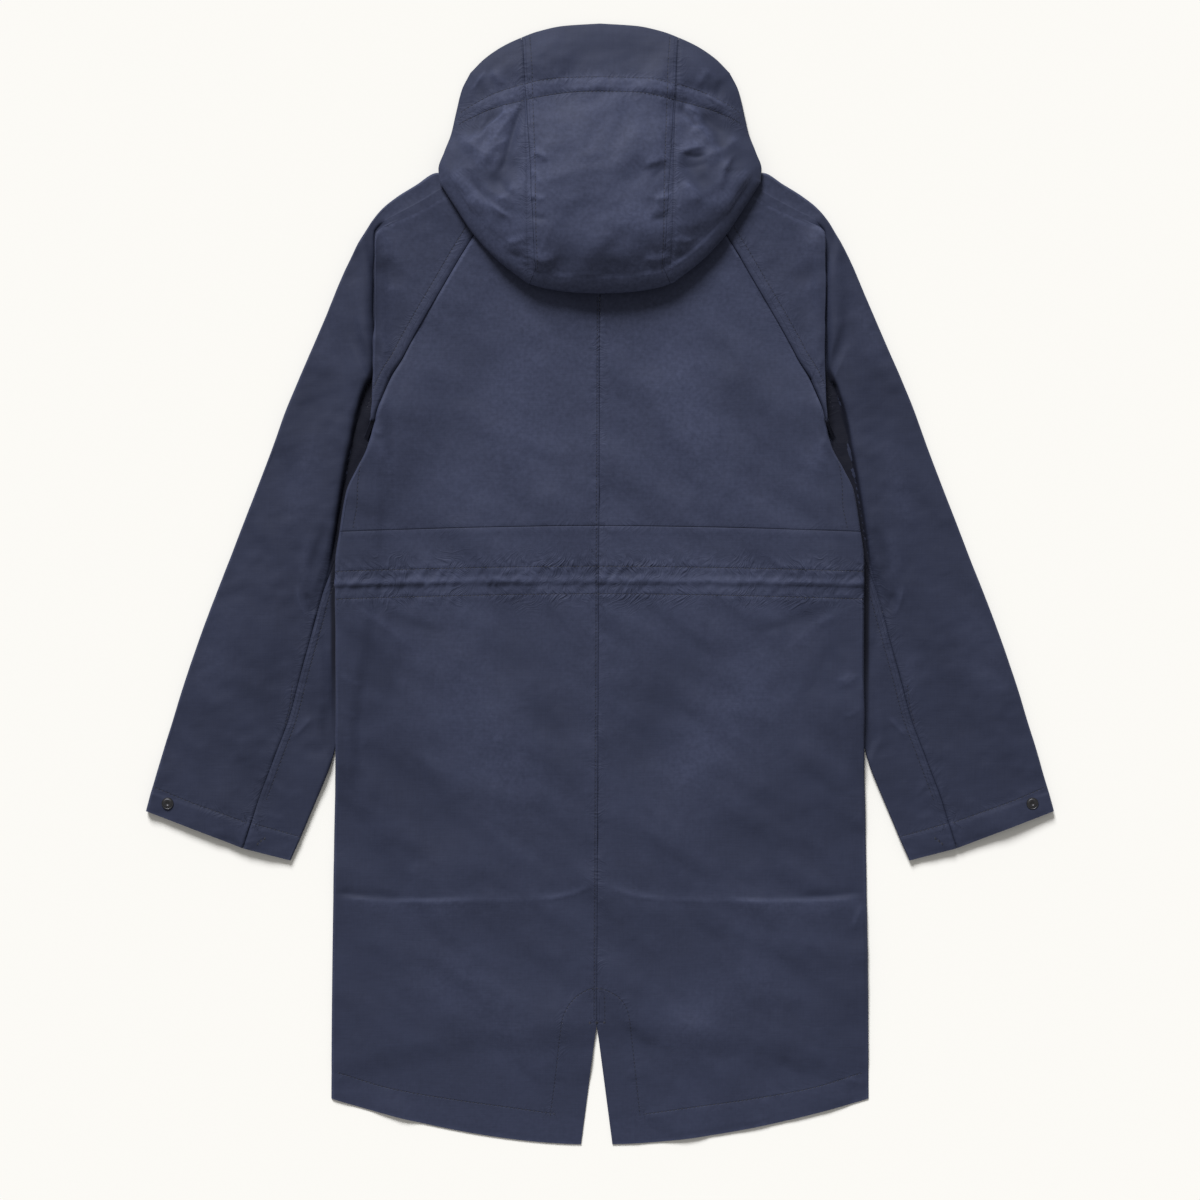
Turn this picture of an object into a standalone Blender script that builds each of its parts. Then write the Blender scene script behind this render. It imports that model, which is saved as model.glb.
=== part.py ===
"""Hooded fishtail parka, laid flat on its front with its back up.

+X is the wearer's right, +Y points to the hood, and +Z up from the surface that it lies on.
The origin is on that surface, in the middle of the parka's box. Tables are in millimetres.
Each piece of cloth starts as an open surface, its outer face. A wall of one layer's thickness
is then grown inwards from it, along its normals.
"""

import math
from typing import NamedTuple

import bpy
import numpy as np

MM = 0.001

# The cloth and how its layers lie on each other
WALL = 1.3  # one layer of cloth
SEAM_GAP = 0.3  # between two pieces along a seam
SLANT_GAP = 0.7 * SEAM_GAP  # each side's share along a row that meets the seam at a slant
HEM_EXTRA = 0.9  # a turned-up hem band is this much thicker
BACK_LOFT = 3.4  # air between the front and the back of the body
HEM_LOFT = 1.4  # the same just above the front's hem
LOFT_FALLS = (-200.0, -430.0)  # between these heights y
SIDE_FALL = 0.45  # share of that air lost at the side
SIDE_FALL_WIDTH = 60.0
SLEEVE_TOP = 5.2  # outer face of a sleeve's back layer
SLEEVE_LOW = 3.1  # the same where the body lies on it
FRONT_LIFT = 3.5  # the front's outer face where it lies on a sleeve
LIFT_LIMIT_X = 271.0  # the front is all up LIFT_TO inside this, or inside the sleeve's inner fold
LIFT_FROM = 22.0  # and starts to rise this far inside it
LIFT_TO = 7.0
SIDE_LOFT = 1.2  # air between the front and the back there
STACK_GAP = 0.35  # between a side fold and the layer below it

# The body
NECK_Y = 385.0
UNDERARM_Y = 171.0
CENTRE_DRIFT_Y = (303.0, -463.0)  # the centre back seam drifts off line between these
CENTRE_DRIFT_X = -3.5
VENT_TOP_Y = -463.0
VENT_HEM_X = {-1: -20.0, 1: 13.0}  # the vent's two edges at the hem
ROW_BOW = 1.7  # power of the curve from a row's centre to its side
SIDE_ROLL = 3.2
FRONT_HEM = (-446.0, -490.0)  # at the centre front and at the side
FRONT_INSET = 2.0  # the front's side edge lies this far inside the back's
PAST_HEM = (12.0, 45.0)  # the back comes down to the floor this far below the front's hem
SIDE_DOWN = (-500.0, -514.0)  # and its side fold between these heights y
ROLL_TURNS = (30.0, 60.0, 90.0)  # degrees of the side fold
UPPER_COLUMNS = 9  # points of a row of the upper back before its side fold
LOWER_COLUMNS = 20  # and of the lower back, two to a gather
FRONT_LAST_SHARED_Y = -400.0  # the front shares the back's rows above this
FRONT_MIDDLE = (0.0, 0.35, 0.7)  # columns of the front: shares of its flat middle
FRONT_STRIP = (42.0, 27.0, 20.0, 10.0, 0.0)  # and distances from its side
FRONT_MIDDLE_REACH = 0.85  # the last of those shares comes this near to the strip

# The sleeves
OUTER_ROLL = 2.6
FOLD_TURNS = (36.0, 72.0, 108.0, 144.0, 180.0)  # degrees of a sleeve's outer or inner fold
FOLD_WIDTH = 1.3  # half the width of the shoulder fold's step
FOLD_FIRST = 1.2  # it starts at least this far from the raglan seam
TOP_STRIP = 4.0  # the least width of a row that lies at the sleeve's full height
ARM_KNOT = 6.0  # a row of the arm is divided at least this far from its elbow seam
ARM_KNOT_WIDTH = 12.0
ARM_KNOTS_BEFORE = (0.0, 0.5, 0.8)  # and at these shares of that distance
UNDER_SLEEVE_COLUMNS = 5
UNDER_SLEEVE_FRONT = (0.34, 0.67, 1.0)  # shares of its front layer
FRONT_LAYER_POINTS = 5
CUFF_ROWS = 2  # the last rows of a sleeve are its turned-up cuff band
CUFF_EXTRA = 0.6  # which is this much thicker
UNDER_ARM_LIFT = (205.0, 182.0)  # the front starts to rise and is all up, by y
SLEEVE_EMERGES = (-186.0, -218.0)  # the front is up above and all down below, by y

# The cuff snaps
SNAP_CENTRE = (453.0, -230.0)
SNAP_SEGMENTS = 20
SNAP_PROFILE = (  # radius and height: recess, dome, groove, rim
    (0.0, 1.5),
    (1.6, 1.5),
    (2.0, 1.9),
    (4.6, 1.8),
    (5.2, 1.5),
    (5.7, 1.7),
    (6.25, 1.2),
    (6.25, 0.0),
)

# The hood
HOOD_SEAM_SHARE = 0.55  # place of a hood seam between the middle, 0, and the side, 1
HOOD_SEAM_TOP_X = 83.0
HOOD_SEAM_POUCH_X = 73.5
HOOD_COLUMNS = (6, 8, 6)  # steps across the left, centre and right panels
RIM_OVER = (25.0, 50.0, 72.0, 90.0)  # degrees of the rounded rim above its widest line
RIM_UNDER = (30.0, 60.0, 90.0)  # and below it
RIM_MIDDLE = 0.42  # height of that widest line, as a share
HOOD_RETURN = 8.0  # flat strip that turns in under the hood's rim
ON_BACK = 6.35  # where the hood lies on the back and the shoulders
CHANNEL_HEIGHT = 1.8
HOOD_EDGE_HEIGHT = (10.0, 25.0)  # its outer face at the side, near the top and at the pouch
HOOD_EDGE_RISES = (0.25, 1.0)  # between these shares of the side
HOOD_ARCH = 2.6  # power of the curve from the middle to the side
HOOD_SIDE_FROM = (0.45, 1.0)  # a row takes its side's share between these shares of its width
FOLDS_INSET = 2.0  # the hood's folded layers end this far inside the top of its rounded rim
FOLDS_GAP = 1.0  # between the hood's wall and the folded layers
FOLDS_REST = 0.45  # between them and the strip under the rim
FOLDS_STEP = (488.0, 466.0)  # they come up from the floor onto the shoulders, by y
FOLDS_EDGE = ((0.9, 0.35), (0.68, 0.62), (0.5, 0.5), (0.32, 0.62), (0.1, 0.3))  # level, bulge

# The gathers
GATHER_DIP = -0.35  # a gather's trough, as a share of its ridge
GATHER_SPREAD = (0.35, 1.0)  # the uneven strength of one gather
GATHER_SEED = 100

NAVY = (0.045, 0.050, 0.085, 1.0)
DARK_NAVY = (0.038, 0.042, 0.072, 1.0)
GUNMETAL = (0.060, 0.060, 0.064, 1.0)


class EdgePoint(NamedTuple):
    """Half width of the body at a height y."""

    y: float
    half_width: float


BODY_EDGE = (
    EdgePoint(171.0, 235.5),
    EdgePoint(160.0, 238.0),
    EdgePoint(143.0, 243.0),
    EdgePoint(122.0, 254.5),
    EdgePoint(97.0, 266.0),
    EdgePoint(56.0, 273.0),
    EdgePoint(23.0, 277.0),
    EdgePoint(-17.0, 277.0),
    EdgePoint(-153.0, 277.0),
    EdgePoint(-269.0, 279.0),
    EdgePoint(-456.0, 281.5),
    EdgePoint(-540.0, 282.0),
)


class RaglanStation(NamedTuple):
    """A row of the sleeve above the underarm, from the raglan seam to the shoulder's outer fold."""

    seam_x: float
    seam_y: float
    outer_x: float
    outer_y: float
    fold: float  # share of the row where the shoulder fold lies
    drop: float  # how far the cloth steps down outside that fold
    rise: float  # where it starts to come up again, from the fold
    rise_width: float


RAGLAN = (
    RaglanStation(118.0, 388.0, 152.0, 428.0, 0.60, 0.0, 4.0, 12.0),
    RaglanStation(125.0, 377.0, 163.0, 431.0, 0.62, 0.0, 5.0, 14.0),
    RaglanStation(132.0, 366.0, 171.0, 431.0, 0.66, 0.0, 6.0, 15.0),
    RaglanStation(147.0, 342.0, 192.0, 419.0, 0.72, 0.0, 6.0, 15.0),
    RaglanStation(161.0, 318.0, 213.0, 406.0, 0.78, 0.0, 5.0, 12.0),
    RaglanStation(178.0, 289.0, 228.0, 394.0, 0.85, 0.2, 4.0, 8.0),
    RaglanStation(194.0, 261.0, 239.0, 381.0, 0.90, 1.2, 3.0, 5.0),
    RaglanStation(201.0, 248.0, 247.0, 368.0, 0.76, 2.0, 4.0, 9.0),
    RaglanStation(207.0, 236.0, 254.0, 356.0, 0.62, 2.4, 5.0, 12.0),
    RaglanStation(219.0, 216.0, 264.0, 336.0, 0.384, 2.8, 6.0, 16.0),
    RaglanStation(228.0, 195.0, 278.0, 303.0, 0.17, 3.2, 10.0, 12.0),
    RaglanStation(233.0, 182.0, 290.0, 275.0, 0.07, 3.3, 11.0, 11.0),
    RaglanStation(235.5, 171.0, 302.0, 247.0, 0.04, 3.3, 14.0, 11.0),
)


class ArmStation(NamedTuple):
    """A row of the sleeve below the underarm: elbow seam, outer fold and inner fold."""

    seam_x: float
    seam_y: float
    outer_x: float
    outer_y: float
    inner_x: float
    inner_y: float
    rise: float  # where the cloth comes up from under the body, from the elbow seam
    rise_width: float
    front_seam: float  # share from the inner to the outer fold, on the front layer


ARM = (
    ArmStation(244.0, 150.0, 315.0, 217.0, 238.0, 140.0, 14.0, 12.0, 0.05),
    ArmStation(248.0, 122.0, 329.0, 183.0, 241.0, 108.0, 13.0, 12.0, 0.10),
    ArmStation(258.0, 85.0, 345.0, 139.0, 244.0, 68.0, 9.0, 11.0, 0.15),
    ArmStation(270.0, 48.0, 361.0, 97.0, 247.0, 30.0, 4.0, 10.0, 0.20),
    ArmStation(281.0, 17.0, 375.0, 61.0, 250.0, -5.0, -2.0, 12.0, 0.24),
    ArmStation(291.0, -10.0, 388.0, 27.0, 254.0, -33.0, -4.0, 16.0, 0.28),
    ArmStation(298.0, -36.0, 400.0, -4.0, 258.0, -60.0, -8.0, 18.0, 0.31),
    ArmStation(308.0, -73.0, 415.0, -43.0, 264.0, -95.0, -29.0, 14.0, 0.34),
    ArmStation(316.0, -102.0, 427.0, -77.0, 269.0, -125.0, -38.0, 14.0, 0.35),
    ArmStation(326.0, -140.0, 439.0, -113.0, 275.0, -160.0, -43.0, 12.0, 0.35),
    ArmStation(339.0, -175.0, 449.0, -146.0, 282.5, -190.0, -70.0, 12.0, 0.35),
    ArmStation(348.0, -199.0, 457.5, -173.0, 291.5, -213.0, -90.0, 12.0, 0.35),
    ArmStation(357.0, -223.0, 465.5, -201.0, 302.5, -239.0, -90.0, 12.0, 0.35),
    ArmStation(364.5, -247.5, 469.7, -214.5, 311.8, -261.0, -90.0, 12.0, 0.35),
    ArmStation(366.0, -252.0, 470.8, -218.5, 313.6, -265.5, -90.0, 12.0, 0.35),
    ArmStation(374.0, -277.0, 476.0, -238.0, 324.5, -290.0, -90.0, 12.0, 0.35),
)


class BodyRow(NamedTuple):
    """A row of the back: its height at the centre and at the side, and its relief."""

    y_centre: float
    y_side: float
    relief: float = 0.0
    gather: float = 0.0


UPPER_ROWS = (
    BodyRow(160.0, 160.0),
    BodyRow(143.0, 143.0),
    BodyRow(122.0, 122.0),
    BodyRow(100.0, 97.0),
    BodyRow(80.0, 75.0),
    BodyRow(61.0, 54.5),
)
LOWER_ROWS = (
    BodyRow(61.0, 54.5),
    BodyRow(40.0, 34.0, 0.3),
    BodyRow(24.0, 18.0, 0.2, 0.5),
    BodyRow(18.4, 13.0, -0.5),
    BodyRow(10.0, 5.5, 0.3, 0.8),
    BodyRow(1.6, -2.0, 2.4, 0.3),
    BodyRow(-5.0, -9.5, 0.3, 0.8),
    BodyRow(-10.5, -16.0, -0.5),
    BodyRow(-18.0, -24.0, 0.2, 0.6),
    BodyRow(-60.0, -66.0),
    BodyRow(-120.0, -126.0),
    BodyRow(-178.0, -184.0),
    BodyRow(-214.0, -220.0),
    BodyRow(-262.0, -268.0),
    BodyRow(-316.0, -322.0, -0.4),
    BodyRow(-327.0, -333.0, 0.8),
    BodyRow(-345.0, -350.0, 0.1),
    BodyRow(-400.0, -396.0),
    BodyRow(-440.0, -430.0),
    BodyRow(-463.0, -450.0),
    BodyRow(-495.0, -476.0),
    BodyRow(-525.0, -498.0),
    BodyRow(-557.0, -513.0),
    BodyRow(-561.0, -516.0),
    BodyRow(-588.0, -540.0),
)


class RimPoint(NamedTuple):
    """A point of the hood's outline, with the radius of its rounded edge and what it lies on."""

    x: float
    y: float
    roll: float
    base: float


HOOD_TOP = (
    RimPoint(0.0, 588.0, 5.0, 0.0),
    RimPoint(38.0, 585.5, 5.0, 0.0),
    RimPoint(64.0, 580.0, 5.0, 0.0),
    RimPoint(83.0, 573.0, 5.0, 0.0),
    RimPoint(102.0, 564.0, 5.0, 0.0),
    RimPoint(121.0, 551.0, 5.5, 0.0),
    RimPoint(136.0, 536.0, 6.0, 0.0),
)
HOOD_SIDE = (
    RimPoint(136.0, 536.0, 6.0, 0.0),
    RimPoint(145.0, 518.0, 6.0, 0.0),
    RimPoint(151.0, 494.0, 7.0, 0.0),
    RimPoint(156.0, 472.0, 7.0, 0.0),
    RimPoint(163.0, 452.0, 8.0, ON_BACK),
    RimPoint(169.0, 434.0, 9.0, ON_BACK),
    RimPoint(168.0, 420.0, 10.0, ON_BACK),
)
HOOD_POUCH = (
    RimPoint(0.0, 303.0, 17.0, ON_BACK),
    RimPoint(25.0, 304.0, 17.0, ON_BACK),
    RimPoint(50.0, 307.0, 17.0, ON_BACK),
    RimPoint(73.0, 313.0, 16.0, ON_BACK),
    RimPoint(90.0, 324.5, 15.0, ON_BACK),
    RimPoint(107.0, 338.0, 14.0, ON_BACK),
    RimPoint(132.0, 365.0, 13.0, ON_BACK),
    RimPoint(152.0, 395.0, 12.0, ON_BACK),
    RimPoint(168.0, 420.0, 10.0, ON_BACK),
)


class HoodRow(NamedTuple):
    """A row of the hood, as shares of the way from its top edge to the pouch's rim."""

    middle: float
    side: float
    height: float  # of the outer face at the middle
    relief: float = 0.0
    gather: float = 0.0


HOOD_ROWS = (
    HoodRow(0.0, 0.0, 9.0),
    HoodRow(0.09, 0.16, 13.5),
    HoodRow(0.175, 0.30, 18.0, 0.1, 0.4),
    HoodRow(0.20, 0.345, 19.4, -0.3),
    HoodRow(0.23, 0.39, 21.0, CHANNEL_HEIGHT, 0.5),
    HoodRow(0.26, 0.435, 22.5, -0.3),
    HoodRow(0.29, 0.47, 24.4, 0.1, 0.5),
    HoodRow(0.38, 0.55, 31.0),
    HoodRow(0.48, 0.62, 37.5),
    HoodRow(0.60, 0.70, 43.0),
    HoodRow(0.72, 0.78, 46.5),
    HoodRow(0.84, 0.87, 47.0),
    HoodRow(0.93, 0.94, 44.0),
    HoodRow(1.0, 1.0, 39.0),
)


class Surface:
    """An open surface of cloth, its outer face: points in millimetres and quads that face out."""

    def __init__(self, points, faces, thickness=WALL):
        self.points = np.asarray(points, float)
        self.faces = [tuple(face) for face in faces]
        self.thickness = np.broadcast_to(thickness, len(self.points))
        self.normals = self.point_normals()

    def point_normals(self):
        """The normal of each point, from the faces round it and weighted by their size."""
        totals = np.zeros_like(self.points)
        for face in self.faces:
            a, b, c, d = (self.points[index] for index in face)
            cross = np.cross(c - a, d - b)
            for index in face:
                totals[index] += cross
        return totals / np.linalg.norm(totals, axis=1, keepdims=True)

    def part(self, wanted):
        """The faces whose numbers are in wanted, with the normals that they have in the whole."""
        chosen = [self.faces[number] for number in wanted]
        used = sorted({index for face in chosen for index in face})
        renumbered = {old: new for new, old in enumerate(used)}
        piece = Surface.__new__(Surface)
        piece.points = self.points[used].copy()
        piece.faces = [tuple(renumbered[index] for index in face) for face in chosen]
        piece.thickness = self.thickness[used]
        piece.normals = self.normals[used]
        return piece, used

    def walled(self):
        """Points and faces of the closed wall: the outer face, the inner one, and the edge."""
        count = len(self.points)
        inner = self.points - self.normals * self.thickness[:, None]
        inner[:, 2] = np.maximum(inner[:, 2], 0.0)  # the floor
        faces = list(self.faces)
        faces += [tuple(index + count for index in reversed(face)) for face in self.faces]
        sides = {
            (face[i], face[(i + 1) % len(face)]) for face in self.faces for i in range(len(face))
        }
        for start, end in sides:
            if (end, start) not in sides:
                faces.append((end, start, start + count, end + count))
        return np.vstack([self.points, inner]), faces


def smooth_step(value, start, end):
    """0 at start and before it, 1 at end and past it, and a smooth slope between."""
    share = np.clip((value - start) / (end - start), 0.0, 1.0)
    return share * share * (3.0 - 2.0 * share)


def column(table, name):
    """One named column of a table."""
    return np.array([getattr(row, name) for row in table])


def along(table, key, name, at):
    """Column name of a table where its column key is at, on a smooth curve through its rows."""
    keys, values = column(table, key), column(table, name)
    if keys[0] > keys[-1]:
        keys, values = keys[::-1], values[::-1]
    slopes = np.diff(values) / np.diff(keys)
    tangents = np.concatenate([slopes[:1], np.zeros(len(keys) - 2), slopes[-1:]])
    for i in range(1, len(keys) - 1):
        if slopes[i - 1] * slopes[i] > 0:
            tangents[i] = 2 * slopes[i - 1] * slopes[i] / (slopes[i - 1] + slopes[i])
    at = np.clip(at, keys[0], keys[-1])
    i = np.clip(np.searchsorted(keys, at) - 1, 0, len(keys) - 2)
    width = keys[i + 1] - keys[i]
    t = (at - keys[i]) / width
    rise = (2 * t**3 - 3 * t**2 + 1) * values[i] + (3 * t**2 - 2 * t**3) * values[i + 1]
    bend = (t**3 - 2 * t**2 + t) * tangents[i] + (t**3 - t**2) * tangents[i + 1]
    return rise + bend * width


def spread(knots, counts):
    """Values through the knots, with counts[i] equal steps between knot i and the next."""
    steps = [
        np.linspace(knots[i], knots[i + 1], count, endpoint=False)
        for i, count in enumerate(counts)
    ]
    return np.concatenate([*steps, knots[-1:]])


def grid_faces(rows, columns, flip):
    """Quads of a grid whose points are listed row by row."""
    faces = []
    for row in range(rows - 1):
        for col in range(columns - 1):
            first = row * columns + col
            quad = (first, first + 1, first + columns + 1, first + columns)
            faces.append(quad[::-1] if flip else quad)
    return faces


def grid_surface(points, flip, thickness=WALL):
    """The surface of a grid of points, [row][column][x, y, z]."""
    points = np.asarray(points, float)
    rows, columns = points.shape[:2]
    if np.ndim(thickness) == 2:
        thickness = thickness.reshape(-1)
    return Surface(points.reshape(-1, 3), grid_faces(rows, columns, flip), thickness)


def material(name, colour, roughness, metallic=0.0):
    """A Principled material."""
    made = bpy.data.materials.new(name)
    made.use_nodes = True
    shader = made.node_tree.nodes["Principled BSDF"]
    shader.inputs["Base Color"].default_value = colour
    shader.inputs["Roughness"].default_value = roughness
    shader.inputs["Metallic"].default_value = metallic
    return made


def add_object(name, points, faces, finish):
    """A mesh object, from points in millimetres, with a material of its own."""
    mesh = bpy.data.meshes.new(name)
    mesh.from_pydata((np.asarray(points) * MM).tolist(), [], faces)
    mesh.update()
    mesh.shade_smooth()
    mesh.set_sharp_from_angle(angle=math.radians(40.0))
    made = bpy.data.objects.new(name, mesh)
    made.data.materials.append(material(f"{name}_{finish[0]}", *finish[1:]))
    bpy.context.scene.collection.objects.link(made)
    return made


def add_cloth(name, surface, colour=NAVY):
    """A piece of cloth, from its outer face."""
    points, faces = surface.walled()
    return add_object(name, points, faces, ("cotton_nylon_cloth", colour, 0.75))


def side_name(side):
    """The wearer's side: -1 is left and 1 is right."""
    return "right" if side > 0 else "left"


def centre_x(y):
    """Where the centre back seam lies at a height y."""
    top, bottom = CENTRE_DRIFT_Y
    return CENTRE_DRIFT_X * np.clip((top - y) / (top - bottom), 0.0, 1.0)


def half_width(y):
    """The body's half width at a height y."""
    return along(BODY_EDGE, "y", "half_width", y)


def front_height(x, y):
    """The front's outer face, on the floor but for the strip that lies on a sleeve."""
    inner_fold = np.minimum(along(ARM, "inner_y", "inner_x", y), LIFT_LIMIT_X)
    up = smooth_step(np.abs(x), inner_fold - LIFT_FROM, inner_fold - LIFT_TO)
    reach = smooth_step(y, *UNDER_ARM_LIFT) * smooth_step(y, SLEEVE_EMERGES[1], SLEEVE_EMERGES[0])
    return FRONT_LIFT * up * reach


def front_hem_y(x):
    """The front's hem at x."""
    centre, side = FRONT_HEM
    return centre + (side - centre) * (np.abs(x) / BODY_EDGE[-1].half_width) ** 2


def back_height(x, y):
    """The back's outer face: a layer of cloth and some air on what lies under it."""
    past_hem = smooth_step(y, front_hem_y(x) - PAST_HEM[0], front_hem_y(x) - PAST_HEM[1])
    lift = front_height(x, y)
    loft = BACK_LOFT + (HEM_LOFT - BACK_LOFT) * smooth_step(y, *LOFT_FALLS)
    edge = half_width(y)
    loft *= 1.0 - SIDE_FALL * smooth_step(np.abs(x), edge - SIDE_FALL_WIDTH, edge)
    over_sleeve = lift / FRONT_LIFT
    loft += (SIDE_LOFT - loft) * over_sleeve
    under = (WALL + lift + loft) * (1.0 - past_hem)
    return under + WALL


def back_row(y_centre, y_side, x_side, side, flat_columns, roll, relief=0.0, gathers=None):
    """Points of a row of the back, from the centre seam to the side, where it rolls down."""
    x_in = centre_x(y_centre) + side * SEAM_GAP / 2
    if y_centre < VENT_TOP_Y:
        opened = (VENT_TOP_Y - y_centre) / (VENT_TOP_Y - LOWER_ROWS[-1].y_centre)
        start = CENTRE_DRIFT_X + side * SEAM_GAP / 2
        x_in = start + (VENT_HEM_X[side] - start) * opened
    flat = np.linspace(0.0, 1.0, flat_columns)
    reach = np.abs(side * x_side - x_in) - SIDE_ROLL
    turn = np.radians(ROLL_TURNS)
    share = np.concatenate([flat * reach, reach + SIDE_ROLL * np.sin(turn)]) / (reach + SIDE_ROLL)
    x = x_in + (side * x_side - x_in) * share
    y = y_centre + (y_side - y_centre) * share**ROW_BOW
    z = back_height(x, y)
    bump = np.zeros(len(share))
    bump[:flat_columns] = relief
    if gathers is not None:
        bump[:flat_columns] += gathers
    z = z + bump
    if roll:
        edge = front_height(side * x_side, y_side)
        floor_only = smooth_step(y_side, *SIDE_DOWN)
        bottom = (edge + WALL) * (1.0 - floor_only) + STACK_GAP
        z[flat_columns:] = bottom + (z[flat_columns - 1] - bottom) * np.cos(turn)
    return np.stack([x, y, z], axis=-1)


def raglan_points():
    """The raglan seam and the row of the back that ends at each of its points."""
    last = len(RAGLAN) - 1
    for number, station in enumerate(RAGLAN):
        yield NECK_Y + (UNDERARM_Y - NECK_Y) * number / last, station


def back_upper(side):
    """Upper back: neck, raglan seam, side, waist seam."""
    rows = [
        back_row(y, station.seam_y, station.seam_x - SLANT_GAP, side, UPPER_COLUMNS, False)
        for y, station in raglan_points()
    ]
    for row in UPPER_ROWS:
        lowest = row is UPPER_ROWS[-1]
        gap = SEAM_GAP / 2 if lowest else 0.0
        x_side = half_width(row.y_side)
        rows.append(
            back_row(row.y_centre + gap, row.y_side + gap, x_side, side, UPPER_COLUMNS, True)
        )
    add_cloth(f"back_upper_{side_name(side)}", grid_surface(rows, flip=side > 0))


def uneven_gathers(random, columns, row_number, strength):
    """One small gather to each pair of columns, uneven from one to the next."""
    ups = np.where((np.arange(columns) + row_number) % 2 == 0, 1.0, GATHER_DIP)
    return strength * ups * random.uniform(*GATHER_SPREAD, columns)


def back_lower(side):
    """Lower back: waist channel with its cord ridge, folded crease, fishtail hem and vent."""
    rows, thickness = [], []
    for number, row in enumerate(LOWER_ROWS):
        gap = SEAM_GAP / 2 if number == 0 else 0.0
        random = np.random.default_rng(GATHER_SEED + number * 2 + (side > 0))
        gathers = uneven_gathers(random, LOWER_COLUMNS, number, row.gather)
        points = back_row(
            row.y_centre - gap,
            row.y_side - gap,
            half_width(row.y_side),
            side,
            LOWER_COLUMNS,
            True,
            row.relief,
            gathers,
        )
        in_hem = number >= len(LOWER_ROWS) - 2
        points[:LOWER_COLUMNS, 2] += HEM_EXTRA if in_hem else 0.0
        wall = np.full(len(points), WALL)
        wall[:LOWER_COLUMNS] += HEM_EXTRA if in_hem else 0.0
        rows.append(points)
        thickness.append(wall)
    surface = grid_surface(rows, flip=side > 0, thickness=np.array(thickness))
    add_cloth(f"back_lower_{side_name(side)}", surface)


def front_row(y_centre, y_side, x_side, side):
    """Points of a row of the front, from the centre front to the side."""
    x_in = SEAM_GAP / 2
    strip = 1.0 - np.array(FRONT_STRIP) / (x_side - x_in)
    middle = np.array(FRONT_MIDDLE) * strip[0] / FRONT_MIDDLE_REACH
    share = np.concatenate([middle, strip])
    x = side * (x_in + (x_side - x_in) * share)
    y = y_centre + (y_side - y_centre) * share**ROW_BOW
    return np.stack([x, y, front_height(x, y)], axis=-1)


def front(side):
    """Front, which the floor flattens: neck, raglan seam, side and a shorter rounded hem."""
    rows = [
        front_row(y, station.seam_y, station.seam_x - SLANT_GAP, side)
        for y, station in raglan_points()
    ]
    stops = list(UPPER_ROWS) + [row for row in LOWER_ROWS[1:] if row.y_side > FRONT_LAST_SHARED_Y]
    for row in stops:
        rows.append(
            front_row(row.y_centre, row.y_side, half_width(row.y_side) - FRONT_INSET, side)
        )
    last = stops[-1]
    for share in (0.5, 1.0):
        y_centre = last.y_centre + (FRONT_HEM[0] - last.y_centre) * share
        y_side = last.y_side + (FRONT_HEM[1] - last.y_side) * share
        rows.append(front_row(y_centre, y_side, half_width(y_side) - FRONT_INSET, side))
    add_cloth(f"front_{side_name(side)}", grid_surface(rows, flip=side < 0), DARK_NAVY)


def sleeve_row(start, outer, front_end, knots, counts, height):
    """Points of a row of the sleeve: back layer, round the outer fold, then the front layer."""
    start, outer, front_end = (np.asarray(point, float) for point in (start, outer, front_end))
    length = np.linalg.norm(outer - start)
    direction = (outer - start) / length
    across = spread(knots, counts)
    z = height(across)
    top = z[-1]
    turn = np.radians(FOLD_TURNS)
    roll_across = length - OUTER_ROLL * (1.0 - np.sin(turn))
    roll_z = top * (1.0 + np.cos(turn)) / 2
    plan = start + np.outer(np.concatenate([across, roll_across]), direction)
    front_start = plan[-1]
    shares = np.linspace(0.0, 1.0, FRONT_LAYER_POINTS)[1:]
    front_plan = front_start + np.outer(shares, front_end - front_start)
    front_z = np.zeros(len(front_plan))
    return np.column_stack(
        [np.vstack([plan, front_plan]), np.concatenate([z, roll_z, front_z])]
    )


SLEEVE_COLUMNS = (3, 2, 1, 2, 4)  # steps between the knots of a row of the back layer
SLEEVE_BACK = sum(SLEEVE_COLUMNS) + 2  # points of that row on the back layer and its outer fold
UNDER_SLEEVE_BACK = 7  # points of an under-sleeve row on the back layer and the upper half of its fold


def raglan_row(station):
    """A row of the main sleeve panel above the underarm."""
    start = np.array([station.seam_x, station.seam_y])
    outer = np.array([station.outer_x, station.outer_y])
    length = np.linalg.norm(outer - start)
    direction = (outer - start) / length
    start = start + direction * SLANT_GAP
    length -= SLANT_GAP
    fold = station.fold * length
    seam_z = back_height(station.seam_x, station.seam_y)
    rise = fold + FOLD_WIDTH + station.rise
    full = min(rise + station.rise_width, length - OUTER_ROLL - TOP_STRIP)
    fold_start = max(fold - FOLD_WIDTH, FOLD_FIRST)
    knots = np.array([0.0, fold_start, fold_start + 2 * FOLD_WIDTH, rise, full, length - OUTER_ROLL])

    def height(across):
        dropped = seam_z - station.drop * smooth_step(across, knots[1], knots[2])
        risen = smooth_step(across, rise, full)
        return dropped + (SLEEVE_TOP - dropped) * risen

    front_end = start + direction * SEAM_GAP
    return sleeve_row(start, outer, front_end, knots, SLEEVE_COLUMNS, height)


def arm_height(station):
    """The back layer's outer face along a row of the arm, from the elbow seam outwards."""

    def height(across):
        risen = smooth_step(across, station.rise, station.rise + station.rise_width)
        return SLEEVE_LOW + (SLEEVE_TOP - SLEEVE_LOW) * risen

    return height


def front_seam_point(station):
    """Where the front seam between the two sleeve panels lies."""
    inner = np.array([station.inner_x, station.inner_y])
    outer = np.array([station.outer_x, station.outer_y])
    return inner + (outer - inner) * station.front_seam


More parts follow.
